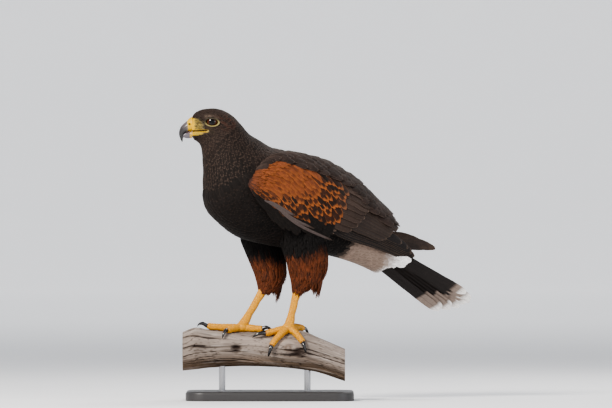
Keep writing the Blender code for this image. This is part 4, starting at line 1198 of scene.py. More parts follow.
def ball(centre, size, rows=40, sides=56):
    """A closed ball or egg, its poles on the Y axis."""
    polar = np.linspace(0.0, np.pi, rows)[1:-1]
    turn = np.linspace(0.0, 2 * np.pi, sides, endpoint=False)
    rings = np.zeros((len(polar), sides, 3))
    rings[..., 0] = np.sin(polar)[:, None] * np.cos(turn)
    rings[..., 1] = np.cos(polar)[:, None]
    rings[..., 2] = np.sin(polar)[:, None] * np.sin(turn)
    points, triangles = loft(rings)
    points[-2:] = ((0.0, 1.0, 0.0), (0.0, -1.0, 0.0))
    return points * np.asarray(size, float) + np.asarray(centre, float), triangles


def head_side(x, z):
    """Half width of the bare head at places seen from the side."""
    places, degrees = np.meshgrid(np.linspace(0.0, 6.5, 90), np.linspace(-80.0, 80.0, 120), indexing="ij")
    skin = BODY.point(places, degrees).reshape(-1, 3)
    result = []
    for one_x, one_z in zip(np.ravel(x), np.ravel(z)):
        miss = np.hypot(skin[:, 0] - one_x, skin[:, 2] - one_z)
        near = np.argsort(miss)[:4]
        weight = 1.0 / (miss[near] + 0.05)
        result.append(np.sum(weight * np.abs(skin[near, 1] - HEAD_Y)) / weight.sum())
    return np.array(result).reshape(np.shape(x))


def lid_rings(side, cosine, sine):
    """Rings of points from the eyeball out over the lid to the head's skin, and back inside."""
    rings = []
    for size, depth_share, lift, _ in LID_PROFILE:
        x = EYE_X + EYE_OPENING[0] * size * cosine - 0.35 * size * sine**2
        z = EYE_Z + EYE_OPENING[1] * size * sine * np.where(sine > 0, 0.92, 1.0) - 0.06 * (x - EYE_X)
        reach = np.minimum((x - EYE_X) ** 2 + (z - EYE_Z) ** 2, EYE_RADIUS**2 - 1.0)
        ball_depth = EYE_SIDE + np.sqrt(EYE_RADIUS**2 - reach)
        under_brow = 1.4 * np.clip(sine, 0.0, 1.0) * min(size - 1.0, 0.4) / 0.4
        depth = ball_depth + (head_side(x, z) - ball_depth) * depth_share + lift + under_brow
        rings.append(np.stack([x, HEAD_Y + side * depth, z], -1))
    return np.array(rings)


def build_eyes():
    """Eyeballs set deep under the brows, and the pale rings of their lids."""
    turn = np.linspace(0.0, 2 * np.pi, LID_SIDES, endpoint=False)
    cosine, sine = np.cos(turn), np.sin(turn)
    count = len(LID_PROFILE)
    shades = np.array([ring[3] for ring in LID_PROFILE])
    # The ring shows its pale colour only on its lower and rear side; above, under the brow, it stays dark as
    # painted shade.
    below = 0.12 + 0.88 * step_between(-0.75, 0.5, 0.45 * cosine - sine)
    tones = mix(LID_DARK, RING_YELLOW, shades[:, None] * below[None, :]).reshape(-1, 3)
    uv = np.stack([np.tile(turn / 6.3, count), np.repeat(np.linspace(0.05, 0.95, count), LID_SIDES)], -1)
    for name, side in (("left", -1.0), ("right", 1.0)):
        node_names = ("eye_" + name,)
        points, triangles = ball((EYE_X, HEAD_Y + side * EYE_SIDE, EYE_Z), (EYE_RADIUS,) * 3)
        mesh_piece("eyeball_" + name, points, triangles, EYE, node_names, sharp=180.0)
        points = lid_rings(side, cosine, sine).reshape(-1, 3)
        triangles = grid_triangles(count + 1, LID_SIDES, True) % (count * LID_SIDES)
        triangles = outward(points - points.mean(0), triangles)
        mesh_piece("lids_" + name, points, triangles, FACE, node_names, tones, uv)


def bill_rings(stations, start, end, rows, sides, ridge):
    """Rings of a bill part, narrowed towards its upper ridge by the given share."""
    places, degrees = loft_grid(start, end, rows, sides)
    rings = side_tube(stations, HEAD_Y).point(places, degrees)
    narrow = 1.0 - ridge * np.clip(np.sin(np.radians(degrees)), 0.0, 1.0) ** 2
    rings[..., 1] = HEAD_Y + (rings[..., 1] - HEAD_Y) * narrow
    return rings


def build_bill():
    """The cere with its nostrils, the hooked upper bill and the lower bill."""
    cere = bill_rings(CERE_STATIONS, -0.25, 2.05, 60, 96, 0.1)
    hole = np.hypot((cere[..., 0] - NOSTRIL[0]) / 1.5, (cere[..., 2] - NOSTRIL[1]) / 1.2)
    side = np.where(cere[..., 1] > HEAD_Y, 1.0, -1.0)
    dent = np.exp(-(hole**4))
    cere[..., 1] += side * (0.5 * bell(hole - 1.3, 0.5) - 2.2 * dent)
    points, triangles = loft(cere)
    # Painted shade: the nostrils' dents are darkened.
    tones = mix(YELLOW, NOSTRIL_SHADE, np.clip(dent * 1.1, 0, 1))
    tones = mix(tones, CERE_PALE, 0.5 * step_between(-125.5, -128.0, cere[..., 0]))
    uv = side_uv(points, -132.0, 14.0, 414.0, 26.0)
    mesh_piece("cere_skin", points, triangles, FACE, ("cere",), with_ends(tones), uv)

    points, triangles = loft(bill_rings(UPPER_BILL_STATIONS, -0.08, 6.0, 110, 72, 0.22))
    height = np.clip((points[:, 2] - 400.0) / 30.0, 0, 1)
    tones = mix(BILL_TIP, BILL_GREY, step_between(0.4, 1.0, height + 0.05 * noise(points, 3.0, 18)))
    tones = mix(tones, BILL_BASE, 0.6 * step_between(-129.5, -126.5, points[:, 0]))
    uv = side_uv(points, -141.0, 16.0, 399.0, 35.0)
    mesh_piece("bill_upper_horn", points, triangles, HORN, ("bill_upper",), tones, uv)

    stations = [
        (a - 0.4, b + rise, c - 0.4, d, width * 0.84)
        for (a, b, c, d, width), rise in zip(LOWER_BILL_STATIONS, LOWER_BILL_RISE)
    ]
    points, triangles = loft(bill_rings(stations, 0.0, 3.0, 60, 64, 0.0))
    tones = mix(LOWER_BILL_GREY, YELLOW * 0.85, step_between(-125.0, -121.0, points[:, 0]))
    tones = mix(tones, LOWER_BILL_RED, 0.7 * step_between(412.5, 414.5, points[:, 2]))
    uv = side_uv(points, -132.0, 14.0, 404.0, 12.0)
    mesh_piece("bill_lower_horn", points, triangles, HORN, ("bill_lower",), tones, uv)


# Wings

# Tiers of wing feathers, each: name, count, root (place, angle) of the first and last, tip of the first and
# last, how far the middle tips reach past that line, half widths of the first and last, lift at root and tip,
# colour of the vane and of its edge, and the edge's share of the width.
WING_TIERS = (
    ("primary", 9, (4.8, -13), (5.2, 6), (7.8, -19), (7.4, 12), 0.55, (8.0, 8.5), (-8.6, -5.2),
     FLIGHT_DARK, FLIGHT_EDGE, 0.1),
    ("secondary", 11, (4.8, 2), (5.3, 46), (6.5, -2), (7.0, 50), 0.1, (8.5, 9.5), (-6.8, -2.4),
     FLIGHT_BROWN, FLIGHT_EDGE, 0.1),
    ("tertial", 6, (5.0, 46), (5.2, 76), (6.95, 50), (6.6, 84), 0.0, (11.0, 10.0), (-5.8, -0.2),
     MANTLE_BROWN, PALE_EDGE, 0.1),
    ("primary_covert", 6, (3.0, -23), (3.4, -8), (4.9, -16), (4.75, 0), 0.0, (4.6, 6.0), (-4.6, -1.0),
     COVERT_GREY, COVERT_PALE, 0.1),
    ("greater", 11, (4.0, -4), (4.2, 55), (5.35, -5), (5.65, 59), 0.1, (8.5, 9.0), (-5.2, 0.2),
     COVERT_GREY, COVERT_PALE, 0.06),
)
FLIGHT_TIERS = ("primary", "secondary", "tertial")
TIER_ROLL = 9.0
WING_CELL_COLUMNS = 16.0
WING_CELL = (0.028, 0.06)
PATCH_START = 0.25
PATCH_END = 4.5
COVERT_SLANT = 0.42

# Places in the picture, across and down: the line between the dark scapulars and the rufous coverts, the
# lower border of those coverts, and the root and tip of each slender feather along the wing's lower edge.
SCAPULAR_LINE_X = (236, 247, 256, 270, 285, 300, 315, 330, 347, 356, 370, 385, 398, 420)
SCAPULAR_LINE_Y = (178, 172, 164, 160.5, 160.5, 163, 167, 172, 184, 194, 207, 220, 231, 245)
PATCH_LOWER_X = (246, 255, 263, 280, 304, 332, 345, 352, 360)
PATCH_LOWER_Y = (187, 194, 200, 209, 214, 219, 216, 212, 206)
THUMB_FEATHERS = (((272, 203), (331, 239)), ((266, 201), (314, 228)), ((262, 200), (296, 216)))


def picture_place(points):
    """Where points are seen in the picture, across and down."""
    return points[..., 0] / PIXEL_MM + PICTURE_ORIGIN[0], PICTURE_ORIGIN[1] - points[..., 2] / PIXEL_MM


def scapular_limit(tube, place):
    """The angle on the wing above which the dark scapulars cover it."""
    low, high = float(curve(WING_LOWER_EDGE, place)), float(curve(WING_UPPER_EDGE, place))
    angles = np.linspace(low, high, 80)
    across, down = picture_place(tube.point(np.full(80, place), angles))
    above = down < np.interp(across, SCAPULAR_LINE_X, SCAPULAR_LINE_Y)
    return float(angles[np.argmax(above)]) if above.any() else high


def wing_place(tube, across, down):
    """The place and angle on the near wing that the picture shows at a spot."""
    places, angles = np.meshgrid(np.linspace(0.5, 6.0, 111), np.linspace(-30.0, 40.0, 141), indexing="ij")
    seen_across, seen_down = picture_place(tube.point(places, angles))
    nearest = np.argmin(np.hypot(seen_across - across, seen_down - down))
    return places.flat[nearest], angles.flat[nearest]


def covert_tones(across, down, random):
    """Vane and edge colours of coverts at places in the picture, and the edges' share of the width."""
    count = len(across)
    dark = np.maximum(
        step_between(-2.0, 9.0, down - 185.0 - 0.06 * (across - 255.0) + random.uniform(-4, 4, count)),
        step_between(308.0, 324.0, across + random.uniform(-5, 5, count)),
    )
    dark = dark * random.uniform(0.75, 1.0, count)
    tone = mix(vary(RUFOUS, count, 0.25, random), vary(COVERT_CENTRE, count, 0.2, random), dark)
    edge = mix(vary(RUFOUS_EDGE, count, 0.15, random), vary(RUFOUS, count, 0.2, random), 0.5 * (1 - dark))
    front = 1.0 - step_between(250.0, 266.0, across)
    tone = mix(tone, mix(RUFOUS_DARK, COVERT_CENTRE, 0.35 * random.random(count)), 0.8 * front)
    edge = mix(edge, RUFOUS_DARK * 1.15, 0.7 * front)
    behind = step_between(330.0, 352.0, across + random.uniform(-5, 5, count))
    edge = mix(edge, COVERT_PALE, 0.85 * behind)
    tone = mix(tone, COVERT_GREY, 0.7 * behind)
    # Below the rufous patch's lower border the coverts darken: painted shade in the gap under the patch.
    below = down - np.interp(across, PATCH_LOWER_X, PATCH_LOWER_Y) + random.uniform(-1.5, 1.5, count)
    under = step_between(-5.0, -1.0, below)
    tone = mix(tone, mix(BELLY_BROWN, COVERT_CENTRE, 0.5), under)
    edge = mix(edge, COVERT_CENTRE * 1.2, under)
    return tone, edge, np.interp(dark, (0, 1), (0.5, 0.34)) - 0.12 * under


def add_coverts(gather, skin, tube, random):
    """Rufous lesser and dark-centred median coverts, under a mantle of dark scapulars."""
    roots = field(
        skin, PATCH_START, PATCH_END,
        lambda p: float(curve(WING_LOWER_EDGE, p)) + 1.0, lambda p: scapular_limit(tube, p) + 4.0,
        lambda p: 4.6 + 1.9 * p, lambda p: 3.6 + 0.95 * p, SEED + 8,
    )
    length = (10.5 + 4.6 * roots[:, 0]) * random.uniform(0.85, 1.2, len(roots))
    tips = along_skin(skin, roots, length)
    tips[:, 1] -= COVERT_SLANT * length
    middle = (roots + tips) / 2
    tone, edge, width = covert_tones(*picture_place(tube.point(middle[:, 0], middle[:, 1])), random)
    low, high = curve(WING_LOWER_EDGE, roots[:, 0]), curve(WING_UPPER_EDGE, roots[:, 0])
    height = (roots[:, 1] - low) / (high - low)
    lay_vanes(
        gather, skin, roots, tips, length * 0.2, (-3.0, 1.5), tone, edge, ROUND_VANE, columns=6,
        edge_width=width, ragged=0.1, roll=4.0, arch=0.14, seed=60,
        uv=np.stack([0.02 + 0.96 * height, 0.02 + 0.03 * roots[:, 0]], -1),
    )

    roots = field(
        skin, 0.3, 6.0,
        lambda p: scapular_limit(tube, p) - 1.0, lambda p: float(curve(WING_UPPER_EDGE, p)) + 4.0,
        lambda p: 7.0 + 1.0 * p, lambda p: 6.0 + 0.9 * p, SEED + 10,
    )
    length = (17.0 + 2.8 * roots[:, 0]) * random.uniform(0.9, 1.15, len(roots))
    tone = vary(MANTLE_BROWN, len(roots), 0.25, random)
    lay_vanes(
        gather, skin, roots, along_skin(skin, roots, length), length * 0.26, (-2.0, 3.0), tone,
        mix(tone, PALE_EDGE, 0.6), ROUND_VANE, columns=6, thick=0.5, edge_width=0.16, ragged=0.1, seed=61,
        uv=np.stack([0.02 + 0.96 * roots[:, 1] / 100.0, 0.2 + 0.02 * roots[:, 0]], -1),
    )


def add_thumb_feathers(gather, skin, tube):
    """The few slender grey feathers along the wing's lower border."""
    roots, tips = (np.array([wing_place(tube, *spots[end]) for spots in THUMB_FEATHERS]) for end in (0, 1))
    count = len(roots)
    cells = np.stack([(np.arange(count) + 0.5) / WING_CELL_COLUMNS, np.full(count, 0.92)], -1)
    lay_vanes(
        gather, skin, roots, tips, 2.5, root_and_tip(count, 1.0, np.linspace(3.4, 2.6, count)), ALULA_GREY,
        COVERT_GREY, LONG_VANE, columns=8, thick=0.5, ragged=0.05, uv=cells, patch=WING_CELL, seed=62,
    )


def build_wing_skin(side, skin):
    """The dark core that the wing's feathers lie on."""
    rows, columns = 90, 56
    at = np.linspace(0.0, WING_CORE_LENGTH, rows)
    share = np.linspace(0.0, 1.0, columns)
    low, high = curve(WING_LOWER_EDGE, at), curve(WING_UPPER_EDGE, at)
    place = np.broadcast_to(at[:, None], (rows, columns))
    degrees = low[:, None] + (high - low)[:, None] * share
    border = np.minimum(np.minimum(share, 1 - share)[None, :] * 3.0, (at / WING_CORE_LENGTH)[:, None] * 8.0)
    rise = -2.6 * np.maximum(0.0, 1.0 - border) ** 2 - 1.2
    top = skin(place, degrees, rise - curve(WING_CORE_SINK, at)[:, None])
    under = skin(place, degrees, -np.broadcast_to(curve(WING_DEPTH, at)[:, None], place.shape))
    points, triangles = loft(np.concatenate([top, under[:, ::-1]], axis=1))
    # The core's rufous is darkened to 0.6, as painted shade in the gaps between the feathers.
    tones = mix(RUFOUS_DARK * 0.6, FLIGHT_DARK, step_between(3.4, 4.4, place))
    tones = np.concatenate([tones, np.broadcast_to(FLIGHT_DARK, tones.shape)], axis=1)
    u = np.concatenate([np.linspace(0.02, 0.48, columns), np.linspace(0.52, 0.98, columns)])
    uv = loft_uv(u[None, :], np.linspace(0.02, 0.98, rows)[:, None])
    nodes = ("wing_" + side,)
    mesh_piece("wing_skin_" + side, points, triangles, DOWN, nodes, with_ends(tones), uv)


def build_wing(side, tips, reach):
    """A folded wing: its core, its tiers of long feathers, then its coverts and scapulars."""
    tube = wing_tube(tips)
    near_tube = wing_tube(LEFT_TIP_STATIONS)
    random = np.random.default_rng(SEED + (5 if side == "left" else 6))

    def skin(place, degrees, lift=0.0):
        degrees = np.asarray(degrees, float)
        return tube.point(place, degrees if side == "left" else 180.0 - degrees, lift)

    build_wing_skin(side, skin)
    roll = TIER_ROLL if side == "left" else -TIER_ROLL
    flight, coverts = Gather(), Gather()
    for number, tier in enumerate(WING_TIERS):
        name, count, root_a, root_b, tip_a, tip_b, bulge, halves, lifts, tone, edge, width = tier
        share = np.linspace(0.0, 1.0, count)
        roots = np.linspace(root_a, root_b, count)
        ends = np.linspace(tip_a, tip_b, count)
        extra = reach if name == "primary" else 0.0
        ends[:, 0] += bulge * np.sin(np.pi * share) + extra + random.uniform(-0.07, 0.07, count)
        ends[:, 1] += random.uniform(-1.2, 1.2, count)
        tones = vary(tone, count, 0.22, random)
        # Painted light and shade: the far wing's primaries, lit on top of the back, take a lighter brown; the
        # near wing's keep the darker tone as painted shade.
        if name == "primary" and side == "right":
            tones = vary(FLIGHT_BROWN, count, 0.1, random)
        if name == "primary_covert":
            grey, dark = vary(ALULA_GREY, count, 0.1, random), vary(COVERT_CENTRE, count, 0.1, random)
            tones = mix(grey, dark, step_between(0.1, 0.5, share))
        order = np.arange(count)
        cells = np.stack([(order + 0.5) / WING_CELL_COLUMNS, np.full(count, 0.07 + number * 0.135)], -1)
        lay_vanes(
            flight if name in FLIGHT_TIERS else coverts, skin, roots, ends, np.linspace(*halves, count),
            np.array(lifts) + 0.05 * order[:, None], tones, vary(edge, count, 0.08, random), LONG_VANE,
            columns=8, thick=0.5, arch=0.05, edge_width=width, roll=roll, ragged=0.06, uv=cells,
            patch=WING_CELL, seed=40 + number,
        )
    add_coverts(coverts, skin, near_tube, random)
    add_thumb_feathers(coverts, skin, near_tube)
    flight.build("flight_feathers_" + side, FLIGHT, "wing_plumage", ("wing_" + side,))
    coverts.build("wing_coverts_" + side, FEATHER, "wing_plumage", ("wing_" + side,))


# Tail

TAIL_SHAPE = (
    (0, 0.55), (0.1, 0.8), (0.2, 0.92), (0.3, 1.0), (0.42, 1.0), (0.54, 1.0), (0.64, 1.0), (0.72, 1.0),
    (0.76, 1.0), (0.78, 1.0), (0.8, 1.0), (0.82, 1.0), (0.84, 1.0), (0.87, 0.99), (0.9, 0.97), (0.93, 0.92),
    (0.955, 0.84), (0.975, 0.66), (0.99, 0.42), (1, 0.16),
)
TAIL_BOW = 0.0022


def tail_axes():
    droop, turn, roll = (math.radians(a) for a in (TAIL_DROOP, BODY_YAW, TAIL_ROLL))
    axis = np.array((math.cos(droop) * math.cos(turn), math.cos(droop) * math.sin(turn), -math.sin(droop)))
    left = np.array((math.sin(turn), -math.cos(turn), 0.0))
    up = unit(np.cross(axis, left))
    if up[2] < 0:
        up = -up
    return axis, up * math.cos(roll) - left * math.sin(roll), left * math.cos(roll) + up * math.sin(roll)


def tail_tones(tones, share, side, random):
    """Dark feathers with a white band at the tip, painted tan as painted shade and left white at the fringe
    as painted light; the band is shorter on the upper side.
    """
    count = tones.shape[0]
    spread = np.linspace(-1.0, 1.0, count).reshape(count, 1, 1, 1)
    start = TAIL_BAND + TAIL_BAND_SLANT * spread + random.uniform(-0.008, 0.008, (count, 1, 1, 1))
    start = start - 0.012 * np.abs(side)
    share = np.broadcast_to(share, tones.shape[:3] + (1,))
    tan = step_between(start, start + 0.015, share)
    # Painted light: the band turns white at its very tip and along the vanes' edges.
    white = step_between(0.95, 0.975, share + 0.012 * side**2)
    white = np.maximum(white, 0.1 * step_between(0.82, 1.0, np.abs(side)))
    # Towards the root the tail takes the coverts' tan, their white in painted shade.
    root = 1.0 - step_between(0.02, 0.1, share)
    found = tones * (1 - tan) + (TAIL_BAND_SHADE * (1 - white) + TAIL_WHITE * white) * tan
    return found * (1 - root) + COVERT_SHADE_TAN * root


def build_tail():
    """A half-spread fan of long feathers, the middle pair on top."""
    axis, up, left = tail_axes()
    start_x = TAIL_TIP[0] - axis[0] * TAIL_LENGTH
    root = np.array((start_x, sagittal_y(start_x), TAIL_TIP[1] - axis[2] * TAIL_LENGTH))

    def skin(place, across, lift=0.0):
        spots = np.broadcast_arrays(place, across, lift)
        place, across, lift = (np.asarray(values, float)[..., None] for values in spots)
        return root + axis * place + left * across + up * (lift - TAIL_BOW * across**2)

    random = np.random.default_rng(SEED + 9)
    number = np.arange(TAIL_FEATHERS)
    middle = (TAIL_FEATHERS - 1) / 2
    spread = (number - middle) / middle
    roots = np.stack([np.zeros(TAIL_FEATHERS), spread * (TAIL_HALF_WIDTH_ROOT - 8.0)], -1)
    reach = TAIL_LENGTH * (1.02 - 0.1 * spread**2 + 0.045 * spread * (spread > 0))
    reach = reach + random.uniform(-1.5, 1.5, TAIL_FEATHERS) - 8.0 * (number % 2)
    tips = np.stack([reach, spread * (TAIL_HALF_WIDTH_TIP - TAIL_FEATHER_HALF_WIDTH * 0.75)], -1)
    height = TAIL_FEATHER_STEP * (middle / 2 - np.abs(number - middle))
    cells = np.stack([(number + 0.5) / TAIL_FEATHERS, np.full(TAIL_FEATHERS, 0.5)], -1)
    gather = Gather()
    lay_vanes(
        gather, skin, roots, tips, TAIL_FEATHER_HALF_WIDTH, np.stack([0.4 * height, height], -1),
        vary(TAIL_DARK, TAIL_FEATHERS, 0.12, random), TAIL_DARK, TAIL_SHAPE, columns=10, thick=0.6, arch=0.02,
        edge_width=0.0, ragged=0.05, uv=cells, patch=(0.038, 0.48), tip_tone=tail_tones, seed=70,
    )
    gather.build("tail_feathers", FLIGHT, "tail_plumage", ("tail",))


# Thighs


def add_hanging_locks(gather, tube, random, reach):
    """Long loose locks that hang straight down from the rear of a thigh instead of following its taper."""

    def hanging(place, degrees, lift=0.0):
        place = np.asarray(place, float)
        drop = np.maximum(place - LOCK_START, 0.0)[..., None] * np.array(LOCK_DROP)
        return tube.point(np.minimum(place, LOCK_START), degrees, lift) + drop

    count = LOCK_COUNT
    roots = np.stack([random.uniform(3.3, LOCK_START, count), random.uniform(-25.0, 205.0, count)], -1)
    behind = np.clip(np.sin(np.radians(roots[:, 1])), 0.0, 1.0)
    tips = roots.copy()
    tips[:, 0] = LOCK_START + reach * (0.5 + 1.6 * behind) * random.uniform(0.35, 1.0, count)
    tips[:, 1] += random.uniform(-5.0, 5.0, count)
    lifts = root_and_tip(count, -1.0, random.uniform(-3.0, 2.5, count))
    tone = mix(
        vary(CHESTNUT, count, 0.3, random), vary(CHESTNUT_DARK, count, 0.3, random), random.random(count)
    )
    uv = np.stack([0.02 + 0.96 * (roots[:, 1] % 360.0) / 360.0, 0.02 + 0.12 * roots[:, 0]], -1)
    lay_vanes(
        gather, hanging, roots, tips, random.uniform(1.6, 2.8, count), lifts, tone,
        mix(tone, CHESTNUT_PALE, 0.25), LOCK, edge_width=0.4, ragged=0.2, uv=uv, seed=82,
    )


def build_thigh(side, stations):
    """A thigh's skin and its coat: near-black above, chestnut locks below."""
    tube = thigh_tube(stations)
    random = np.random.default_rng(SEED + (12 if side == "left" else 13))
    last = len(stations) - 1
    places, degrees = loft_grid(0, last, 90, 72)
    rings = tube.point(places, degrees, -1.6)
    points, triangles = loft(rings)
    _, down = picture_place(rings)
    tones = mix(CHESTNUT_DARK, BELLY_BROWN, 1.0 - step_between(244.0, 254.0, down))
    uv = loft_uv(degrees / 361.0, 0.02 + 0.96 * places / last)
    nodes = ("thigh_" + side,)
    mesh_piece("thigh_skin_" + side, points, triangles, DOWN, nodes, with_ends(tones), uv)

    roots = field(tube.point, 0.0, 6.3, 0.0, 360.0, lambda p: 4.4, lambda p: 3.5, SEED + 14)
    count = len(roots)
    behind = np.clip(np.sin(np.radians(roots[:, 1])), 0.0, 1.0)
    length = np.interp(roots[:, 0], (0, 3, 5, 6.5), (20.0, 20.0, 15.0, 9.0))
    length = length * random.uniform(0.8, 1.25, count)
    length = length * (1.0 + 0.25 * behind)
    half = random.uniform(1.7, 2.7, count)
    length = length * (1.0 + 0.55 * behind * step_between(2.5, 4.5, roots[:, 0]))
    across, down = picture_place(tube.point(roots[:, 0], roots[:, 1]))
    rear = step_between(303.0, 318.0, across) if side == "left" else 0.0
    share = step_between(246.0, 257.0, down + 9.0 * rear + random.uniform(-3.0, 3.0, count))
    tone = mix(
        vary(CHESTNUT, count, 0.3, random), vary(CHESTNUT_DARK, count, 0.3, random), random.random(count) ** 2
    )
    tone = mix(vary(BELLY_BROWN, count, 0.2, random), tone, share)
    tips = along_skin(tube.point, roots, length)
    tips[:, 1] += random.uniform(-7.0, 7.0, count)
    loose = behind * step_between(1.5, 4.5, roots[:, 0]) * random.random(count)
    gather = Gather()
    uv = np.stack([0.02 + 0.96 * (roots[:, 1] % 360.0) / 360.0, 0.02 + 0.96 * roots[:, 0] / last], -1)
    lay_vanes(
        gather, tube.point, roots, tips, half, root_and_tip(count, -1.8, 1.2 + 7.0 * loose), tone,
        mix(tone, CHESTNUT_PALE, 0.3 * share), LOCK, edge_width=0.4, ragged=0.2, uv=uv, seed=80,
    )
    add_hanging_locks(gather, tube, random, 1.25 if side == "left" else 1.5)
    gather.build("coat_thigh_" + side, FEATHER, "chestnut_plumage", nodes)


# Legs and feet


def perch_point(x, degrees, lift):
    xs = [station[0] for station in PERCH_STATIONS]
    return PERCH.point(np.interp(x, xs, range(len(xs))), 90.0 - np.asarray(degrees, float), lift)


def toe_tube(hub, toe):
    """A toe and its claw from the foot's middle over the perch: low along the wood, arched in the claw."""
    end_x, end_angle, tip_x, tip_angle = toe

    def between(start, end, share_x, share_angle):
        return start[0] + share_x * (end[0] - start[0]), start[1] + share_angle * (end[1] - start[1])

    end, tip = (end_x, end_angle), (tip_x, tip_angle)
    stops = (
        (*hub, 5.4, 5.6),
        (*between(hub, end, 0.35, 0.3), 5.0, 5.5),
        (*between(hub, end, 0.7, 0.65), 4.4, 4.9),
        (*end, 4.8, 4.4),
        (*between(end, tip, 0.4, 0.36), 7.2, CLAW_RADIUS * 0.85),
        (*between(end, tip, 0.8, 0.76), 5.2, CLAW_RADIUS * 0.5),
        (*tip, 1.4, 0.35),
    )
    centres = [perch_point(x, angle, lift) for x, angle, lift, _ in stops]
    ups, lefts = [], []
    for index, (x, angle, lift, _) in enumerate(stops):
        ahead = unit(centres[min(index + 1, len(stops) - 1)] - centres[max(index - 1, 0)])
        away = perch_point(x, angle, lift + 5.0) - centres[index]
        up = unit(away - ahead * np.dot(away, ahead))
        ups.append(up)
        lefts.append(unit(np.cross(ahead, up)))
    radii = [radius for _, _, _, radius in stops]
    return Tube(centres, ups, lefts, radii, radii)


def scuted(tube, end, rows, sides, count, height):
    """A tube whose upper side carries overlapping plates and whose underside carries rounded pads."""
    places, degrees = loft_grid(0.0, end, rows, sides)
    share = places / end
    saw = (share * count) % 1.0
    sine = np.sin(np.radians(degrees))
    upper = step_between(0.1, 0.7, sine)
    plate = height * upper * (1.0 - saw) ** 0.5 * step_between(0.0, 0.12, saw)
    pads = 0.8 * step_between(0.2, 0.8, -sine) * np.sin(np.pi * ((share * 3.0) % 1.0))
    seam = upper * (1.0 - step_between(0.0, 0.16, saw))
    return tube.point(places, degrees, plate + pads), seam


def tarsus_tube(stations, hub):
    """The bare shank from inside the thigh's end down to the foot."""
    top = np.array(stations[-1][:3], float)
    top[2] += 6.0
    foot_centre = perch_point(hub[0], hub[1], HUB_LIFT + 2.0)
    lean = unit(foot_centre - top)
    front = unit(np.array((-1.0, 0.0, 0.0)) - lean * np.dot((-1.0, 0.0, 0.0), lean))
    return Tube(
        [top + (foot_centre - top) * share for share in (0.0, 0.3, 0.65, 1.0)],
        [front] * 4,
        [unit(np.cross(lean, front))] * 4,
        [TARSUS_RADIUS + more for more in (1.2, 0.2, 0.0, 2.2)],
        [TARSUS_RADIUS + more for more in (0.0, -0.7, -0.6, 1.6)],
    )


def build_leg(side, stations, hub, toes):
    """The scaled shank and toes in one piece, and the claws in another."""
    skin, claws = Gather(), Gather()

    def leg_uv(points):
        return side_uv(points, -120.0, 200.0, 40.0, 150.0)

    def add_skin(rings, seam):
        points, triangles = loft(rings)
        shade_share = np.concatenate([seam.ravel(), [0.0, 0.0]])
        skin.add(points, triangles, mix(LEG_YELLOW, LEG_SEAM, 0.75 * shade_share), leg_uv(points))

    add_skin(*scuted(tarsus_tube(stations, hub), 3.0, 150, 48, 15, 0.7))
    points, triangles = ball(perch_point(hub[0], hub[1], HUB_LIFT), HUB_SIZE, 30, 40)
    skin.add(points, triangles, LEG_YELLOW, leg_uv(points))
    for toe in toes:
        tube = toe_tube(hub, toe)
        rings, seam = scuted(tube, 3.0, 110, 36, 11, 0.6)
        tip = tube.point(np.full(36, 3.25), np.linspace(0, 360, 36, endpoint=False), -1.6)
        add_skin(np.concatenate([rings, tip[None]]), np.concatenate([seam, seam[-1:]]))
        places, degrees = loft_grid(2.9, 6.0, 60, 28)
        shrink = np.interp(places, (2.9, 3.4, 4.0), (-1.0, -0.5, 0.0))
        points, triangles = loft(tube.point(places, degrees, shrink))
        claws.add(points, triangles, CLAW_BLACK, leg_uv(points))
    skin.build("leg_skin_" + side, SCALES, "leg_skin", ("tarsus_" + side, "foot_" + side), 80.0)
    claw_nodes = [f"claw_{side}_{number}" for number in range(1, 5)]
    claws.build("claws_" + side, CLAW, "claw_horn", claw_nodes, 80.0)


# Perch and stand


END_ROWS = 26
PERCH_ROWS = 360
PERCH_SIDES = 180
END_CHECKS = (20.0, 95.0, 150.0, 232.0, 300.0)


def angle_gap(degrees, middle):
    """How far angles lie from a middle one, from -180 to 180."""
    return (degrees - middle + 180.0) % 360.0 - 180.0


def sawn_end(rim, way):
    """Rings from the middle of a sawn end out to its rim, with growth rings and a few drying cracks darkened
    as painted shade.
    """
    centre = rim.mean(0)
    share = np.linspace(0.03, 0.985, END_ROWS)[:, None]
    degrees = np.linspace(0.0, 360.0, len(rim), endpoint=False)[None, :]
    flat = centre + (rim - centre)[None] * share[..., None]
    growth = 0.5 + 0.5 * np.sin(64.0 * share + 1.6 * np.sin(np.radians(degrees + 40.0)))
    crack = np.zeros(growth.shape)
    for check in END_CHECKS:
        found = bell(angle_gap(degrees, check) * share, 1.6) * step_between(0.2, 0.6, share)
        crack = np.maximum(crack, found)
    flat[..., 0] += way * (0.2 * growth - 0.9 * crack * (share < 0.96))
    return flat, mix(mix(END_PALE, END_BROWN, growth), END_CRACK_SHADE, 0.85 * crack)


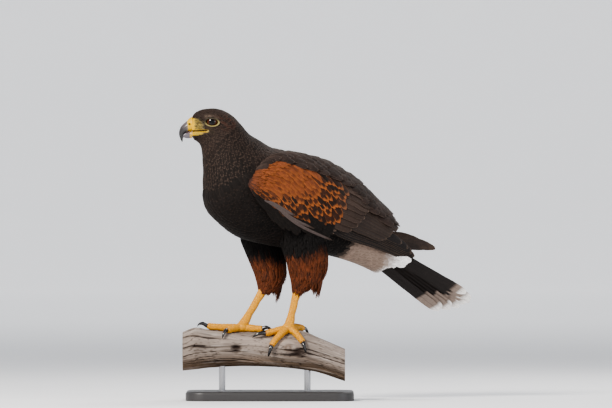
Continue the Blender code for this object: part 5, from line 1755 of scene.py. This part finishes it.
def build_perch():
    """The cut branch: fluted, split and knotted weathered wood, with two sawn ends."""
    last = len(PERCH_STATIONS) - 1
    places, degrees = loft_grid(0, last, PERCH_ROWS, PERCH_SIDES)
    x = PERCH.point(places, degrees)[..., 0]
    sine = np.sin(np.radians(degrees))
    twist = degrees + 7.0 * np.sin(0.03 * x) + 0.06 * x
    turn = np.radians(twist)
    rounded = np.stack([x * 0.9, 30 * np.cos(turn), 30 * np.sin(turn)], -1)
    ridge = 0.9 * np.sin(np.radians(5 * twist) + 0.02 * x)
    knot_way = np.hypot((x - KNOT_X) / 14.0, angle_gap(degrees, KNOT_ANGLE) / 26.0)
    knot = (KNOT_HEIGHT + 0.45 * np.sin(9.0 * knot_way) * np.exp(0.3 * knot_way**2)) * np.exp(-(knot_way**2))
    flutes = noise(rounded, (90.0, 9.0, 9.0), 1)
    fine = noise(rounded, (38.0, 2.6, 2.6), 2)
    finest = noise(rounded, (12.0, 1.3, 1.3), 3)
    split = 1.0 - np.abs(noise(rounded, (75.0, 6.5, 6.5), 4))
    where = step_between(-0.35, 0.15, noise(rounded, (60.0, 20.0, 20.0), 5))
    crack = step_between(0.86, 0.985, split) * where
    small_crack = step_between(0.88, 0.99, 1.0 - np.abs(noise(rounded, (30.0, 3.0, 3.0), 6)))
    hollow = np.exp(-(np.hypot((x + 52.0) / 7.5, angle_gap(degrees, 0.0) / 16.0) ** 4))
    lift = ridge + knot + 1.1 * flutes + 0.35 * fine + 0.15 * finest
    lift = lift - 2.6 * crack - 0.8 * small_crack - 4.5 * hollow - 0.6
    wood = PERCH.point(places, degrees, lift)
    first_end, first_tones = sawn_end(wood[0], -1.0)
    last_end, last_tones = sawn_end(wood[-1], 1.0)
    points, triangles = loft(np.concatenate([first_end, wood, last_end[::-1]]))

    tones = mix(WOOD_PALE, WOOD_GREY, 0.5 + 0.5 * flutes)
    tones = mix(tones, WOOD_UNDER, step_between(0.15, 0.9, -sine) * 0.85)
    tones = mix(tones, WOOD_BLEACHED, 0.35 * step_between(0.1, 0.9, fine))
    # Painted shade: the cracks and the hollow are darkened.
    tones = mix(tones, WOOD_CRACK_SHADE, np.clip(0.95 * crack + 0.55 * small_crack + 0.9 * hollow, 0, 1))
    tones = mix(tones, WOOD_KNOT, 0.6 * bell(knot_way - 0.25, 0.2))
    tones = with_ends(np.concatenate([first_tones, tones, last_tones[::-1]]))
    v = np.concatenate([
        np.linspace(0.005, 0.045, END_ROWS),
        0.05 + 0.9 * places[:, 0] / last,
        np.linspace(0.955, 0.995, END_ROWS),
    ])
    uv = loft_uv(degrees[:1] / 361.0, v[:, None], (0.002, 0.998))
    mesh_piece("perch_wood", points, triangles, WOOD, ("perch",), tones, uv)


def build_base():
    """The stand's flat base with round corners and a softened upper edge, and the finish of its rods."""
    rings = []
    for height, inset in BASE_LEVELS:
        corner = BASE_CORNER - inset
        ring = []
        for quarter in range(4):
            centre_x = (BASE_LENGTH / 2 - BASE_CORNER) * (1 if quarter in (0, 3) else -1)
            centre_y = (BASE_WIDTH / 2 - BASE_CORNER) * (1 if quarter in (0, 1) else -1)
            for step in range(CORNER_STEPS + 1):
                angle = math.radians(90 * quarter + 90 * step / CORNER_STEPS)
                x, y = centre_x + corner * math.cos(angle), centre_y + corner * math.sin(angle)
                ring.append((x, y, height))
        rings.append(ring)
    points, triangles = loft(rings)
    uv = np.stack([(points[:, 0] + 135.0) / 270.0, (points[:, 1] + 92.0) / 184.0], -1)
    mesh_piece(
        "base_plate", points, triangles, BASE_PAINT, ("stand_base",), None, uv, sharp=30.0
    )
    for name in ("stand_rod_1", "stand_rod_2"):
        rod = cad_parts[name]
        rod.data.materials.clear()
        rod.data.materials.append(ROD_STEEL)


# Stage, light and camera


def build_stage():
    """A flat round floor that rises to a pale wall on all sides, well behind every camera place."""
    made, tree, shader = new_material("floor")
    speck = noise_node(tree, 6.0, 2.0)
    pale = mix_colour(tree, speck, srgb(226, 226, 228), srgb(232, 231, 231))
    tree.links.new(pale, shader.inputs["Base Color"])
    far = node(tree, "ShaderNodeVectorMath", operation="LENGTH")
    tree.links.new(node(tree, "ShaderNodeTexCoord").outputs["Object"], far.inputs[0])
    glow = range_node(tree, far.outputs["Value"], *STAGE_GLOW_REACH, 0.0, STAGE_GLOW)
    tree.links.new(glow, shader.inputs["Emission Strength"])
    finish_surface(shader, roughness=0.9, emission_colour=(1.0, 1.0, 1.0, 1.0))
    profile = [(0.02, 0.0), (2.0, 0.0), (6.0, 0.0), (STAGE_RADIUS, 0.0)]
    for angle in np.radians(90.0 * np.arange(1, 25) / 24):
        profile.append((STAGE_RADIUS + STAGE_CURVE * math.sin(angle), STAGE_CURVE * (1.0 - math.cos(angle))))
    profile.append((STAGE_RADIUS + STAGE_CURVE, STAGE_HEIGHT))
    turn = np.linspace(0.0, 2 * np.pi, STAGE_SIDES, endpoint=False)
    points = [(radius * np.cos(a), radius * np.sin(a), height) for radius, height in profile for a in turn]
    faces = grid_triangles(len(profile), STAGE_SIDES, True)[:, ::-1].tolist()
    faces.append(list(range(STAGE_SIDES)))
    mesh = bpy.data.meshes.new("studio_floor")
    mesh.from_pydata(points, [], faces)
    mesh.shade_smooth()
    mesh.materials.append(made)
    floor = bpy.data.objects.new("studio_floor", mesh)
    bpy.context.scene.collection.objects.link(floor)


def add_light(name, place, size, power, colour):
    """A soft rectangular light that faces the bird."""
    data = bpy.data.lights.new(name, "AREA")
    data.shape = "RECTANGLE"
    data.size, data.size_y = size
    data.energy = power
    data.color = colour
    made = bpy.data.objects.new(name, data)
    made.location = place
    direction = np.array(LIGHT_AIM) - np.array(place)
    yaw = math.atan2(direction[1], direction[0])
    flat = math.hypot(direction[0], direction[1])
    made.rotation_euler = (math.atan2(flat, -direction[2]), 0.0, yaw - math.pi / 2)
    bpy.context.scene.collection.objects.link(made)


def build_light_and_camera():
    """Three soft lights under a pale sky, and the camera at the photograph's viewing angle."""
    world = bpy.data.worlds.new("studio")
    world.use_nodes = True
    background = world.node_tree.nodes["Background"]
    background.inputs["Color"].default_value = (0.86, 0.9, 0.96, 1.0)
    background.inputs["Strength"].default_value = 0.6
    bpy.context.scene.world = world
    for light in LIGHTS:
        add_light(*light)
    pixel = PIXEL_MM * METRES
    width, height = PICTURE_SIZE
    camera = bpy.data.cameras.new("photo_camera")
    camera.sensor_width = SENSOR_WIDTH
    camera.lens = SENSOR_WIDTH * CAMERA_DISTANCE / (width * pixel)
    camera.clip_end = 60.0
    made = bpy.data.objects.new("photo_camera", camera)
    across, up = width / 2 - PICTURE_ORIGIN[0], PICTURE_ORIGIN[1] - height / 2
    made.location = (across * pixel, -CAMERA_DISTANCE, up * pixel)
    made.rotation_euler = (math.pi / 2, 0.0, 0.0)
    bpy.context.scene.collection.objects.link(made)
    bpy.context.scene.camera = made
    bpy.context.scene.view_settings.look = "AgX - Medium High Contrast"


build_skin()
build_body_coat()
build_eyes()
build_bill()
build_wing("left", LEFT_TIP_STATIONS, 0.0)
build_wing("right", RIGHT_TIP_STATIONS, RIGHT_TIP_REACH)
build_tail()
build_thigh("left", LEFT_THIGH_STATIONS)
build_thigh("right", RIGHT_THIGH_STATIONS)
build_leg("left", LEFT_THIGH_STATIONS, LEFT_HUB, LEFT_TOES)
build_leg("right", RIGHT_THIGH_STATIONS, RIGHT_HUB, RIGHT_TOES)
build_perch()
build_base()
build_stage()
build_light_and_camera()
